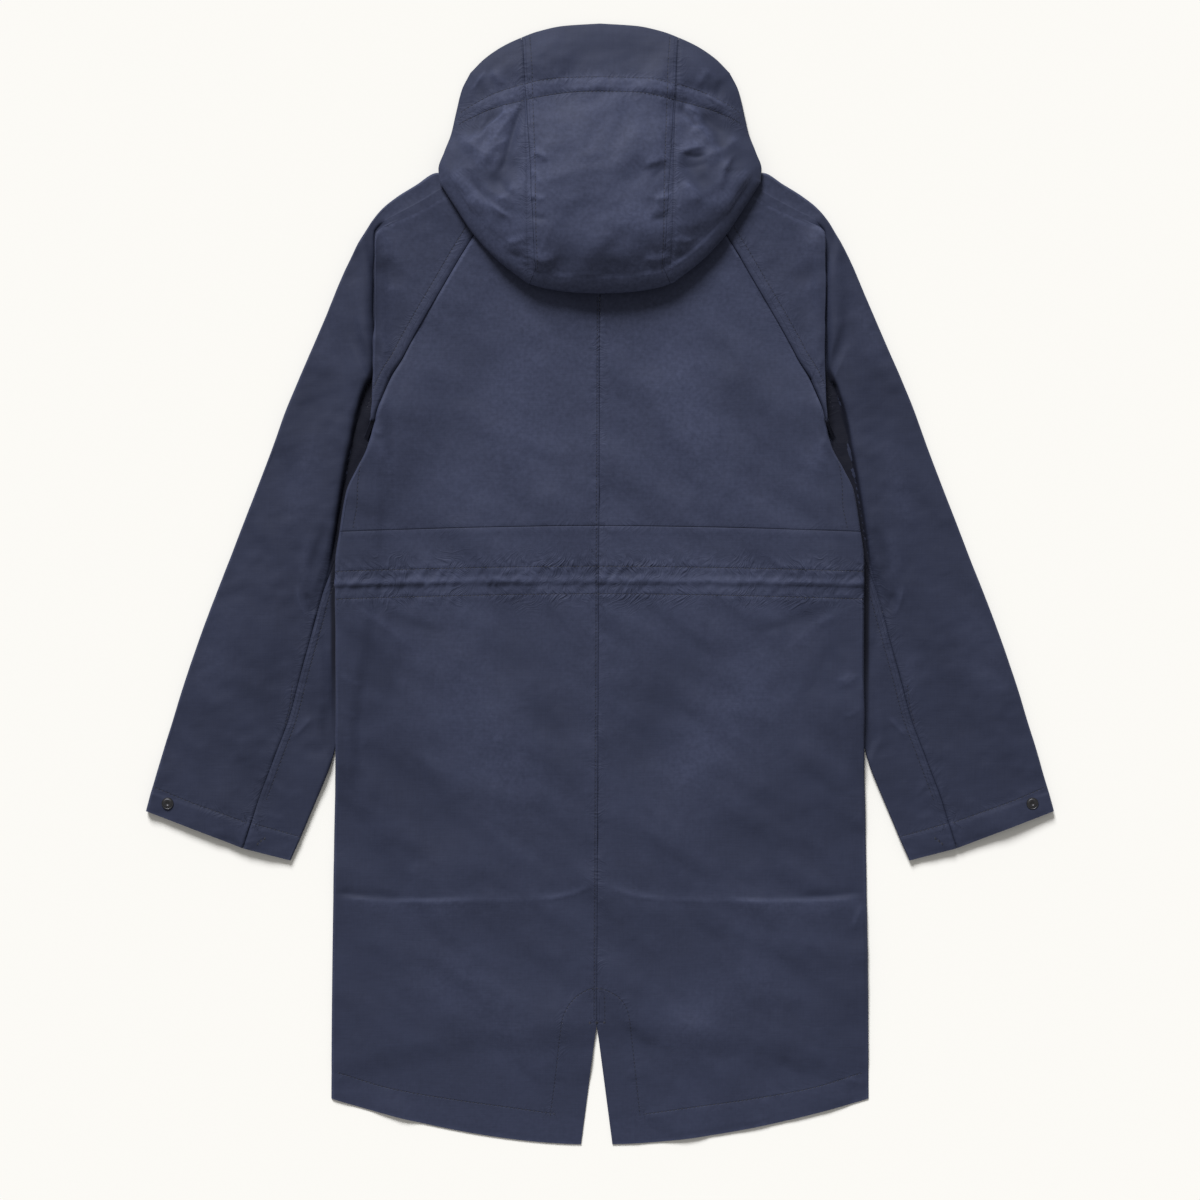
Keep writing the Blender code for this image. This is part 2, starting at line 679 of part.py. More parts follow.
def arm_row(station):
    """A row of the main sleeve panel below the underarm."""
    seam = np.array([station.seam_x, station.seam_y])
    outer = np.array([station.outer_x, station.outer_y])
    direction = (outer - seam) / np.linalg.norm(outer - seam)
    start = seam + direction * SEAM_GAP / 2
    length = np.linalg.norm(outer - start)
    rise = max(station.rise, ARM_KNOT)
    full = rise + max(station.rise_width, ARM_KNOT_WIDTH)
    before = [share * rise for share in ARM_KNOTS_BEFORE]
    knots = np.array([*before, rise, full, length - OUTER_ROLL])
    front_end = front_seam_point(station) + direction * SEAM_GAP / 2
    return sleeve_row(start, outer, front_end, knots, SLEEVE_COLUMNS, arm_height(station))


def with_cuff(rows, back_columns):
    """The rows and walls of a sleeve panel, raised and thickened in the cuff's turned-up band."""
    rows = np.array(rows)
    wall = np.full(rows.shape[:2], WALL)
    rows[-CUFF_ROWS:, :back_columns, 2] += CUFF_EXTRA
    wall[-CUFF_ROWS:] += CUFF_EXTRA
    return rows, wall


def mirrored(points, side):
    """The points on the wearer's right, or their mirror image on the left."""
    points = np.array(points, float)
    points[..., 0] *= side
    return points


def sleeve(side):
    """Main raglan sleeve panel, with the shoulder fold that overhangs the lower sleeve."""
    rows = [raglan_row(station) for station in RAGLAN] + [arm_row(station) for station in ARM]
    rows, wall = with_cuff(rows, SLEEVE_BACK)
    surface = grid_surface(mirrored(rows, side), flip=side > 0, thickness=wall)
    add_cloth(f"sleeve_{side_name(side)}", surface)


def under_sleeve_row(station):
    """A row of the under-sleeve: elbow seam, inner fold, front seam."""
    seam = np.array([station.seam_x, station.seam_y])
    inner = np.array([station.inner_x, station.inner_y])
    outer = np.array([station.outer_x, station.outer_y])
    length = np.linalg.norm(inner - seam)
    direction = (inner - seam) / length
    height = arm_height(station)
    top = height(-(length - SLEEVE_LOW / 2))
    roll = top / 2
    across = np.linspace(SEAM_GAP / 2, length - roll, UNDER_SLEEVE_COLUMNS)
    turn = np.radians(FOLD_TURNS)
    roll_across = length - roll * (1.0 - np.sin(turn))
    plan = seam + np.outer(np.concatenate([across, roll_across]), direction)
    outward = (outer - inner) / np.linalg.norm(outer - inner)
    front_end = front_seam_point(station) - outward * SEAM_GAP / 2
    front_plan = plan[-1] + np.outer(UNDER_SLEEVE_FRONT, front_end - plan[-1])
    floor = np.zeros(len(UNDER_SLEEVE_FRONT))
    z = np.concatenate([height(-across), top * (1.0 + np.cos(turn)) / 2, floor])
    return np.column_stack([np.vstack([plan, front_plan]), z])


def under_sleeve(side):
    """Under-sleeve panel, half hidden under the body."""
    rows, wall = with_cuff([under_sleeve_row(station) for station in ARM], UNDER_SLEEVE_BACK)
    surface = grid_surface(mirrored(rows, side), flip=side < 0, thickness=wall)
    add_cloth(f"under_sleeve_{side_name(side)}", surface)


def snap(side):
    """Domed snap cap with a rim and a small recess, turned about its own axis."""
    floor = SLEEVE_TOP + CUFF_EXTRA + SEAM_GAP
    points = [(0.0, 0.0, SNAP_PROFILE[0][1])]
    for radius, height in SNAP_PROFILE[1:]:
        for step in range(SNAP_SEGMENTS):
            angle = 2 * math.pi * step / SNAP_SEGMENTS
            points.append((radius * math.cos(angle), radius * math.sin(angle), height))
    points.append((0.0, 0.0, 0.0))
    faces = []
    rings = len(SNAP_PROFILE) - 1
    for step in range(SNAP_SEGMENTS):
        after = (step + 1) % SNAP_SEGMENTS
        faces.append((0, 1 + step, 1 + after))
        for ring in range(rings - 1):
            low, high = 1 + ring * SNAP_SEGMENTS, 1 + (ring + 1) * SNAP_SEGMENTS
            faces.append((low + step, high + step, high + after, low + after))
        last = 1 + (rings - 1) * SNAP_SEGMENTS
        faces.append((last + after, last + step, len(points) - 1))
    centre = np.array([side * SNAP_CENTRE[0], SNAP_CENTRE[1], floor])
    finish = ("dark_plated_brass", GUNMETAL, 0.35, 0.9)
    add_object(f"snap_{side_name(side)}", np.array(points) + centre, faces, finish)


def rim_curve(table, shares, key):
    """Points of the hood's outline at shares of its column key, with roll and base."""
    at = column(table, key)[0] + (column(table, key)[-1] - column(table, key)[0]) * shares
    return np.column_stack([along(table, key, name, at) for name in ("x", "y", "roll", "base")])


def hood_shares():
    """Where the hood's columns lie between its two sides, -1 to 1, with a column on each seam."""
    knots = np.array([-1.0, -HOOD_SEAM_SHARE, HOOD_SEAM_SHARE, 1.0])
    return spread(knots, HOOD_COLUMNS)


def hood_outline():
    """Top, side and pouch curves of the outline at the hood's columns and rows."""
    shares = hood_shares()
    stops = [0.0, HOOD_SEAM_SHARE, 1.0]
    top_share = np.interp(np.abs(shares), stops, [0.0, HOOD_SEAM_TOP_X / HOOD_TOP[-1].x, 1.0])
    pouch_share = np.interp(np.abs(shares), stops, [0.0, HOOD_SEAM_POUCH_X / HOOD_POUCH[-1].x, 1.0])
    top = rim_curve(HOOD_TOP, top_share, "x")
    pouch = rim_curve(HOOD_POUCH, pouch_share, "x")
    top[:, 0] *= np.sign(shares)
    pouch[:, 0] *= np.sign(shares)
    return shares, top, rim_curve(HOOD_SIDE, column(HOOD_ROWS, "side"), "y"), pouch


def loop_of(top, side, pouch):
    """The outline's points clockwise from its top left corner, each corner once."""
    left = side.copy()
    left[:, 0] *= -1.0
    return np.vstack([top, side[1:-1], pouch[::-1], left[-2:0:-1]])


def outward_normals(loop):
    """Unit normals in plan of a clockwise loop."""
    ahead, behind = np.roll(loop, -1, axis=0), np.roll(loop, 1, axis=0)
    tangent = (ahead - behind)[:, :2]
    normal = np.column_stack([-tangent[:, 1], tangent[:, 0]])
    return normal / np.linalg.norm(normal, axis=1, keepdims=True)


def hood_height(row, share, relief):
    """The hood's outer face on a row, at a share of the way from the middle to a side."""
    low, high = HOOD_EDGE_HEIGHT
    edge = low + (high - low) * smooth_step(row.side, *HOOD_EDGE_RISES)
    height = edge + (row.height - edge) * (1.0 - np.abs(share) ** HOOD_ARCH)
    return height + relief * row.relief


def hood_grid(relief=1.0):
    """The top of the hood inside its rounded rim, and the loop of the outline round it."""
    shares, top, side, pouch = hood_outline()
    loop = loop_of(top, side, pouch)
    normals = outward_normals(loop)
    inset = loop[:, :2] - normals * loop[:, 2:3]
    columns, rows = len(shares), len(HOOD_ROWS)
    inset_top = inset[:columns]
    inset_right = inset[columns - 1 : columns + rows - 1]
    inset_pouch = inset[columns + rows - 2 : 2 * columns + rows - 2][::-1]
    random = np.random.default_rng(GATHER_SEED)
    points = np.zeros((rows, columns, 3))
    for number, row in enumerate(HOOD_ROWS):
        way = row.middle + (row.side - row.middle) * smooth_step(np.abs(shares), *HOOD_SIDE_FROM)
        plan = inset_top + (inset_pouch - inset_top) * way[:, None]
        straight = inset_top[-1] + (inset_pouch[-1] - inset_top[-1]) * row.side
        bulge = inset_right[number] - straight
        pull = np.clip((np.abs(shares) - HOOD_SEAM_SHARE) / (1 - HOOD_SEAM_SHARE), 0.0, 1.0)
        plan[:, 0] += np.sign(shares) * pull * bulge[0]
        plan[:, 1] += pull * bulge[1]
        gathers = uneven_gathers(random, columns, number, row.gather)
        points[number, :, :2] = plan
        points[number, :, 2] = hood_height(row, shares, relief) + relief * gathers
    return points, loop, normals


def border_of(rows, columns):
    """Numbers of a grid's border points, clockwise from its first."""
    border = list(range(columns))
    border += [row * columns + columns - 1 for row in range(1, rows)]
    border += [(rows - 1) * columns + col for col in range(columns - 2, -1, -1)]
    border += [row * columns for row in range(rows - 2, 0, -1)]
    return border


def rim_rings(edge, loop, normals):
    """Rings of points from the hood's top round its rim, and in under it as a flat strip."""
    roll, base = loop[:, 2], loop[:, 3]
    middle = base + (edge[:, 2] - base) * RIM_MIDDLE
    rings = []
    for angle in np.radians(RIM_OVER):
        plan = edge[:, :2] + (roll * math.sin(angle))[:, None] * normals
        rings.append(np.column_stack([plan, middle + (edge[:, 2] - middle) * math.cos(angle)]))
    for angle in np.radians(RIM_UNDER):
        plan = loop[:, :2] - (roll * (1.0 - math.cos(angle)))[:, None] * normals
        rings.append(np.column_stack([plan, base + (middle - base) * (1.0 - math.sin(angle))]))
    plan = loop[:, :2] - (roll + HOOD_RETURN)[:, None] * normals
    rings.append(np.column_stack([plan, base]))
    return rings


def hood():
    """The hood's three panels: one rounded shell, parted along its two seams."""
    points, loop, normals = hood_grid()
    rows, columns = points.shape[:2]
    border = border_of(rows, columns)
    faces = grid_faces(rows, columns, flip=True)
    flat = points.reshape(-1, 3)
    rings = rim_rings(flat[border], loop, normals)
    count = len(border)
    previous = border
    first = len(flat)
    for number in range(len(rings)):
        current = [first + number * count + i for i in range(count)]
        for i in range(count):
            after = (i + 1) % count
            faces.append((previous[after], current[after], current[i], previous[i]))
        previous = current
    whole = Surface(np.vstack([flat, *rings]), faces)
    split_hood(whole, rows, columns, border)


def split_hood(whole, rows, columns, border):
    """Parts the shell at its seam columns and makes each panel, a hair's gap apart."""
    low, high = HOOD_COLUMNS[0], HOOD_COLUMNS[0] + HOOD_COLUMNS[1]
    ring_column = np.array(border) % columns
    ring_count = len(RIM_OVER) + len(RIM_UNDER) + 1
    all_columns = np.concatenate(
        [np.arange(rows * columns) % columns, np.tile(ring_column, ring_count)]
    )
    groups = {"hood_left": [], "hood_centre": [], "hood_right": []}
    for number, face in enumerate(whole.faces):
        mean = np.mean([all_columns[index] for index in face])
        key = "hood_left" if mean < low else "hood_right" if mean > high else "hood_centre"
        groups[key].append(number)
    for name, numbers in groups.items():
        piece, used = whole.part(numbers)
        of_seam = np.array([all_columns[index] for index in used])
        inwards = {"hood_left": {low: -1.0}, "hood_right": {high: 1.0}}
        shift = inwards.get(name, {low: 1.0, high: -1.0})
        for seam, sign in shift.items():
            piece.points[of_seam == seam, 0] += sign * SEAM_GAP / 2 * 1.1
        add_cloth(name, piece)


def hood_under():
    """The hood's hidden folded layers, one rounded solid with a layered edge."""
    points, loop, normals = hood_grid(relief=0.0)
    rows, columns = points.shape[:2]
    border = border_of(rows, columns)
    top = points.reshape(-1, 3).copy()
    top[border, :2] -= normals * FOLDS_INSET
    top[:, 2] -= WALL + FOLDS_GAP
    bottom = top.copy()
    bottom[:, 2] = WALL + FOLDS_REST + ON_BACK * smooth_step(top[:, 1], *FOLDS_STEP)
    loops = []
    for level, bulge in FOLDS_EDGE:
        plan = top[border, :2] + normals * (loop[:, 2] * bulge)[:, None]
        heights = bottom[border, 2] + (top[border, 2] - bottom[border, 2]) * level
        loops.append(np.column_stack([plan, heights]))
    count, size = len(border), rows * columns
    faces = grid_faces(rows, columns, flip=True)
    faces += [tuple(index + size for index in face[::-1]) for face in faces]
    chain = [border]
    chain += [[2 * size + number * count + i for i in range(count)] for number in range(len(loops))]
    chain.append([index + size for index in border])
    for upper, lower in zip(chain, chain[1:]):
        for i in range(count):
            after = (i + 1) % count
            faces.append((upper[after], lower[after], lower[i], upper[i]))
    finish = ("folded_cloth", DARK_NAVY, 0.8)
    add_object("hood_under", np.vstack([top, bottom, *loops]), faces, finish)


def main():
    """Clears the scene and makes every piece."""
    for old in list(bpy.data.objects):
        bpy.data.objects.remove(old)
    for side in (-1, 1):
        back_upper(side)
        back_lower(side)
        front(side)
        sleeve(side)
        under_sleeve(side)
        snap(side)
    hood()
    hood_under()


main()
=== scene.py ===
"""Dresses a hooded fishtail parka that lies flat on its front, with its back up.

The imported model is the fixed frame. Each panel of cloth is made again as a fine shell on its
solid's form, with its folds, gathers and seams, and replaces that solid. Lengths in the tables
are in millimetres, in the frame's own axes: +X to the wearer's right, +Y to the hood, +Z up.
"""

import logging
import math
from collections.abc import Iterable, Sequence
from dataclasses import dataclass, field, replace
from enum import Enum, IntEnum
from typing import NamedTuple

import bpy
import numpy as np
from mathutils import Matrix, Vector
from mathutils.bvhtree import BVHTree

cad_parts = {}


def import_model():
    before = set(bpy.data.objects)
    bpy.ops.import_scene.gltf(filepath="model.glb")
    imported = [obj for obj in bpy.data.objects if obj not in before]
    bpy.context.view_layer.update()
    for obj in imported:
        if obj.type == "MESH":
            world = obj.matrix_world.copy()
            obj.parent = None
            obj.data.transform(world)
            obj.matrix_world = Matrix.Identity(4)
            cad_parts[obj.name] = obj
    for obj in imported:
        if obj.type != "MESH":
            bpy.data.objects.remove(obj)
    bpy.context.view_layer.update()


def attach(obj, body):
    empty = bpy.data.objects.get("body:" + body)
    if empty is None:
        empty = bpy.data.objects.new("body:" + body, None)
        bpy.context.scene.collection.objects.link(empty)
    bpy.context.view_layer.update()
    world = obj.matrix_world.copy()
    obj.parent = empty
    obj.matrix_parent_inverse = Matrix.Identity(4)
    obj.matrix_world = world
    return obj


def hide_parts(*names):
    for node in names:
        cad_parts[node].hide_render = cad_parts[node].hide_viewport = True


LOG = logging.getLogger("parka")
MM = 0.001
Array = np.ndarray
Path2D = tuple[tuple[float, float], ...]

WALL = 1.3  # one layer of cloth
SEAM_GAP = 0.3  # between two panels along a seam
GRID = 2.1  # spacing of a panel's points, fine enough for a gather 8 mm long
INNER_STEP = 4  # the hidden inner face keeps one point in this many
LEAST_HEIGHT = 0.9  # cloth that is pushed down stays this far above the floor


class Side(IntEnum):
    """The wearer's side of a piece, as the sign of its x."""

    LEFT = -1
    RIGHT = 1

    @property
    def label(self) -> str:
        """The side's word in a piece's name."""
        return self.name.lower()


# ---------------------------------------------------------------- numbers along curves


def smooth_step(value: Array | float, start: Array | float, end: Array | float) -> Array:
    """Goes smoothly from 0 where value is start to 1 where it is end."""
    share = np.clip((np.asarray(value) - start) / (np.asarray(end) - start), 0.0, 1.0)
    return share * share * (3.0 - 2.0 * share)


def cubic(keys: Array, values: Array, tangents: Array, at: Array | float) -> Array:
    """Reads a cubic curve through values that have a tangent each.

    Args:
        keys: Rising keys.
        values: One value or point for each key.
        tangents: The curve's slope at each.
        at: Where to read it.

    Returns:
        The value or point at each place.
    """
    i = np.clip(np.searchsorted(keys, at, side="right") - 1, 0, len(keys) - 2)
    width = keys[i + 1] - keys[i]
    t = (at - keys[i]) / width
    if values.ndim > 1:
        width, t = width[:, None], t[:, None]
    rise = (2 * t**3 - 3 * t**2 + 1) * values[i] + (3 * t**2 - 2 * t**3) * values[i + 1]
    bend = (t**3 - 2 * t**2 + t) * tangents[i] + (t**3 - t**2) * tangents[i + 1]
    return rise + bend * width


def along(keys: Array, values: Array, at: Array | float) -> Array:
    """Reads a smooth curve through a table, which overshoots none of its values.

    Args:
        keys: The table's rising or falling keys.
        values: One value for each key.
        at: Where to read it.

    Returns:
        The value at each place.
    """
    if keys[0] > keys[-1]:
        keys, values = keys[::-1], values[::-1]
    slopes = np.diff(values) / np.diff(keys)
    tangents = np.concatenate([slopes[:1], np.zeros(len(keys) - 2), slopes[-1:]])
    both, total = slopes[:-1] * slopes[1:], slopes[:-1] + slopes[1:] + 1e-12
    tangents[1:-1] = np.where(both > 0, 2 * both / np.where(both > 0, total, 1.0), 0.0)
    return cubic(keys, values, tangents, np.clip(at, keys[0], keys[-1]))


def table(kind: type[NamedTuple], *rows: tuple[float, ...]) -> tuple[NamedTuple, ...]:
    """Makes the named rows of a table from plain numbers."""
    return tuple(kind(*map(float, row)) for row in rows)


def column(rows: Sequence[NamedTuple], name: str) -> Array:
    """Reads one named column of a table."""
    return np.array([getattr(row, name) for row in rows], float)


def running_length(*lines: Array) -> Array:
    """Measures how far along lines of equal length each row lies, by the longest step of any."""
    steps = [np.linalg.norm(np.diff(line, axis=0), axis=1) for line in lines]
    return np.concatenate([[0.0], np.cumsum(np.max(steps, axis=0))])


def dense(keys: Array, step: float) -> Array:
    """Fills rising keys with equal steps of at most step, and keeps each key."""
    parts = []
    for low, high in zip(keys[:-1], keys[1:]):
        count = max(1, math.ceil((high - low) / step - 1e-6))
        parts.append(np.linspace(low, high, count, endpoint=False))
    return np.concatenate([*parts, keys[-1:]])


def smooth_path(points: Path2D | Array, step: float = 3.0) -> Array:
    """Draws a smooth line through a few points of a plan.

    Args:
        points: The points that it passes.
        step: Spacing of the points of the line.

    Returns:
        The points of the line, one [x, y] a row.
    """
    points = np.asarray(points, float)
    lengths = running_length(points)
    ahead = np.vstack([points[1:], 2 * points[-1] - points[-2]])
    behind = np.vstack([2 * points[0] - points[1], points[:-1]])
    spans = np.diff(lengths)
    spans = np.concatenate([spans, spans[-1:]]) + np.concatenate([spans[:1], spans])
    return cubic(lengths, points, (ahead - behind) / spans[:, None], dense(lengths, step))


def mirrored_path(path: Path2D, side: int) -> Path2D:
    """Gives a path on the wearer's right, or its mirror image on the left."""
    return tuple((side * x, y) for x, y in path)


class Nearest(NamedTuple):
    """How plan points lie to a line: distance, to its left above 0, and place along it."""

    distance: Array
    run: Array
    length: float


def nearest(line: Array, x: Array, y: Array) -> Nearest:
    """Measures plan points, given as x and y, against a line of [x, y] rows."""
    best, sign, run = np.full(x.shape, np.inf), np.ones(x.shape), np.zeros(x.shape)
    start = 0.0
    for (ax, ay), (bx, by) in zip(line[:-1], line[1:]):
        span = math.hypot(bx - ax, by - ay)
        ux, uy = (bx - ax) / span, (by - ay) / span
        place = np.clip((x - ax) * ux + (y - ay) * uy, 0.0, span)
        off_x, off_y = x - ax - place * ux, y - ay - place * uy
        gap = np.hypot(off_x, off_y)
        closer = gap < best
        best = np.where(closer, gap, best)
        sign = np.where(closer, np.where(ux * off_y - uy * off_x >= 0, 1.0, -1.0), sign)
        run = np.where(closer, start + place, run)
        start += span
    return Nearest(best * sign, run, start)


def near_path(path: Path2D, reach: float, x: Array, y: Array) -> Array:
    """Marks the plan points in the box round a path, grown by a reach."""
    low, high = np.min(path, axis=0) - reach, np.max(path, axis=0) + reach
    return (x > low[0]) & (x < high[0]) & (y > low[1]) & (y < high[1])


# ---------------------------------------------------------------- relief of cloth


def lattice(ix: Array, iy: Array, seed: int) -> Array:
    """Gives each whole-numbered place of a plane a fixed value from -1 to 1."""
    mixed = (ix * 374761393 + iy * 668265263 + seed * 974634777) & 0xFFFFFFFF
    mixed = ((mixed ^ (mixed >> 13)) * 1274126177) & 0xFFFFFFFF
    return ((mixed ^ (mixed >> 16)) & 0xFFFF) / 32767.5 - 1.0


def soft_noise(x: Array, y: Array | float, seed: int) -> Array:
    """Reads smooth noise from -1 to 1, with a period of about 2, at places of a plane."""
    y = y + np.zeros_like(x)
    ix, iy = np.floor(x).astype(np.int64), np.floor(y).astype(np.int64)
    fx, fy = x - ix, y - iy
    fx, fy = fx**3 * (fx * (fx * 6 - 15) + 10), fy**3 * (fy * (fy * 6 - 15) + 10)
    low = lattice(ix, iy, seed) * (1 - fx) + lattice(ix + 1, iy, seed) * fx
    high = lattice(ix, iy + 1, seed) * (1 - fx) + lattice(ix + 1, iy + 1, seed) * fx
    return low * (1 - fy) + high * fy


@dataclass(frozen=True)
class Feature:
    """Something that stands up along a line of the cloth.

    Attributes:
        path: The line.
        height: How high it stands, below 0 for a trough.
        left: How far it runs out on the left of the line.
        right: The same on its right.
    """

    path: Path2D
    height: float
    left: float
    right: float


@dataclass(frozen=True)
class Crease(Feature):
    """A listed ridge or trough of the cloth, with a soft and a sharp flank.

    Attributes:
        power: 2 is round, 1 is sharp, 4 has a flat top.
        fade: Share of its run over which each end fades.
        reach: How far it still counts, for each millimetre of its widths.
    """

    power: float = 2.0
    fade: float = 0.35
    reach: float = 3.2

    def at(self, x: Array, y: Array, seed: int) -> Array:
        """Reads its height at plan points, with the unevenness of a seed."""
        near = nearest(smooth_path(self.path), x, y)
        width = np.where(near.distance > 0, self.left, self.right)
        wobble = 1.0 + 0.18 * soft_noise(near.run / 17.0, 0.0, seed)
        profile = np.exp(-((np.abs(near.distance) / (width * wobble)) ** self.power))
        if self.fade > 0:
            share = near.run / near.length
            profile *= smooth_step(share, 0.0, self.fade) * smooth_step(share, 1.0, 1.0 - self.fade)
        return self.height * profile * (1.0 + 0.25 * soft_noise(near.run / 31.0, 1.0, seed + 1))


@dataclass(frozen=True)
class Pucker(Feature):
    """Small uneven gathers that a line of sewing pulls up beside itself.

    Attributes:
        pitch: Mean spacing of two gathers.
        slant: How far a gather drifts along the line, for each millimetre away from it.
        patchy: Share of their strength that comes and goes along the line.
        reach: As for a crease.
    """

    pitch: float
    slant: float = 0.25
    patchy: float = 0.6
    reach: float = 2.6

    def at(self, x: Array, y: Array, seed: int) -> Array:
        """Reads the gathers' height at plan points, with the unevenness of a seed."""
        near = nearest(smooth_path(self.path), x, y)
        away, is_left = np.abs(near.distance), near.distance > 0
        reach = np.where(is_left, self.left, self.right)
        drift = self.slant * soft_noise(near.run / 45.0, 0.0, seed + 2) * 1.6
        shifted = (near.run + away * (self.slant + drift)) / self.pitch
        bank = np.where(is_left, 3.5, 9.5)
        wave = soft_noise(2.0 * shifted, bank + away / (reach * 2.2), seed)
        fine = soft_noise(3.1 * shifted, bank + away / reach, seed + 3)
        ridge = 0.62 * (1.0 - 2.0 * np.abs(wave)) + 0.38 * fine
        patch = 1.0 - self.patchy * (0.5 + 0.5 * soft_noise(near.run / 37.0, bank, seed + 4))
        fade = np.exp(-((away / reach) ** 1.6)) * smooth_step(away, -0.2, 2.2)
        return self.height * patch * ridge * fade


def mirrored(feature: Feature) -> Feature:
    """Gives a feature's mirror image, with its flanks changed over."""
    path = mirrored_path(feature.path, -1)
    return replace(feature, path=path, left=feature.right, right=feature.left)


def creases(*rows: tuple, side: int = 1) -> list[Crease]:
    """Makes creases from rows of their numbers and then their path, mirrored if side is -1."""
    return [Crease(mirrored_path(path, side), *numbers) for numbers, *path in rows]


class Swell(NamedTuple):
    """Broad unevenness of cloth that lies loose, with its run's angle from +X in degrees."""

    height: float
    length: float
    width: float
    turn: float

    def at(self, x: Array, y: Array, seed: int) -> Array:
        """Reads its height at plan points, with the unevenness of a seed."""
        turn = math.radians(self.turn)
        run = (x * math.cos(turn) + y * math.sin(turn)) / self.length
        across = (y * math.cos(turn) - x * math.sin(turn)) / self.width
        return self.height * soft_noise(run + 40.0, across + 40.0, seed)


@dataclass(frozen=True)
class Relief:
    """All the folds, gathers and swells of one side of the garment."""

    swells: tuple[Swell, ...]
    features: Sequence[Feature]
    seed: int

    def at(self, x: Array, y: Array) -> tuple[Array, Array]:
        """Reads the height of all the relief, and of its folds alone, at plan points."""
        swelling = sum(swell.at(x, y, self.seed + i) for i, swell in enumerate(self.swells))
        folds = np.zeros(x.shape)
        for number, feature in enumerate(self.features):
            reach = feature.reach * max(feature.left, feature.right)
            inside = near_path(feature.path, reach, x, y)
            if inside.any():
                folds[inside] += feature.at(x[inside], y[inside], self.seed + 100 + 7 * number)
        return swelling + folds, folds


# ---------------------------------------------------------------- panels of cloth


@dataclass
class Panel:
    """A fine grid of points on a panel's outer face, in millimetres.

    Attributes:
        form: The panel's smooth form, [row][column][x, y, z].
        flip: Whether the grid runs the other way round, seen from outside.
        thickness: Wall at each point.
        shown: Share of the relief that each point takes.
        rows_kept: Rows that the inner face keeps.
        columns_kept: Columns that it keeps.
        outer: The outer face with its folds.
        crests: Height of the folds alone.
    """

    form: Array
    flip: bool
    thickness: Array
    shown: Array
    rows_kept: Array
    columns_kept: Array
    outer: Array = field(init=False)
    crests: Array = field(init=False)

    def __post_init__(self) -> None:
        """Starts with the smooth form as the outer face."""
        self.outer, self.crests = self.form.copy(), np.zeros(self.shown.shape)

    def normals(self) -> Array:
        """Works out unit normals of the smooth form, outwards."""
        normal = np.cross(np.gradient(self.form, axis=1), np.gradient(self.form, axis=0))
        normal *= -1.0 if self.flip else 1.0
        return normal / np.maximum(np.linalg.norm(normal, axis=2, keepdims=True), 1e-9)

    def folded(self, relief: Relief) -> None:
        """Moves the outer face out by the relief, and the inner face out of its way."""
        height, folds = relief.at(self.form[..., 0], self.form[..., 1])
        height, self.crests = height * self.shown, folds * self.shown
        height = eased(height, np.maximum(self.form[..., 2] - LEAST_HEIGHT, 0.05))
        self.outer = self.form + self.normals() * height[..., None]
        self.outer[..., 2] = np.maximum(self.outer[..., 2], 0.0)
        padded = np.pad(np.minimum(height, 0.0), INNER_STEP, mode="edge")
        window = (2 * INNER_STEP + 1, 2 * INNER_STEP + 1)
        around = np.lib.stride_tricks.sliding_window_view(padded, window)
        self.thickness = self.thickness - around.min(axis=(2, 3))

    def mesh(self) -> tuple[Array, list[tuple[int, ...]]]:
        """Makes the closed wall's points and faces: fine outer face, coarse inner face, edge."""
        rows, columns = self.form.shape[:2]
        inner = self.form - self.normals() * self.thickness[..., None]
        inner[..., 2] = np.maximum(inner[..., 2], 0.0)
        inner = inner[np.ix_(self.rows_kept, self.columns_kept)]
        base, tall, wide = rows * columns, len(self.rows_kept), len(self.columns_kept)
        faces = [(a, a + 1, a + columns + 1, a + columns) for a in corners(rows, columns)]
        faces += [
            (a + base + wide, a + base + wide + 1, a + base + 1, a + base)
            for a in corners(tall, wide)
        ]
        last_row, last_inner = (rows - 1) * columns, base + (tall - 1) * wide
        stops = self.columns_kept.tolist()
        for i, (low, high) in enumerate(zip(stops, stops[1:])):
            faces.append((*range(high, low - 1, -1), base + i, base + i + 1))
            ends = (last_inner + i + 1, last_inner + i)
            faces.append((*range(last_row + low, last_row + high + 1), *ends))
        stops = self.rows_kept.tolist()
        for i, (low, high) in enumerate(zip(stops, stops[1:])):
            ends = (base + i * wide + wide - 1, base + (i + 1) * wide + wide - 1)
            right = range(high * columns + columns - 1, low * columns, -columns)
            faces.append((*right, *ends))
            left = range(low * columns, high * columns + 1, columns)
            faces.append((*left, base + (i + 1) * wide, base + i * wide))
        if self.flip:
            faces = [face[::-1] for face in faces]
        return np.vstack([self.outer.reshape(-1, 3), inner.reshape(-1, 3)]), faces


def eased(height: Array, room: Array) -> Array:
    """Lets troughs come to rest softly in the room that they have below them."""
    return np.where(height < 0, -room * (1.0 - np.exp(height / room)), height)


def corners(rows: int, columns: int) -> list[int]:
    """Lists the first point of each cell of a grid."""
    return [row * columns + col for row in range(rows - 1) for col in range(columns - 1)]


def kept(count: int, step: int = INNER_STEP, always: Iterable[int] = ()) -> Array:
    """Picks one row or column in step, with both ends and those that are always kept."""
    return np.unique([*range(0, count, step), count - 1, *always])


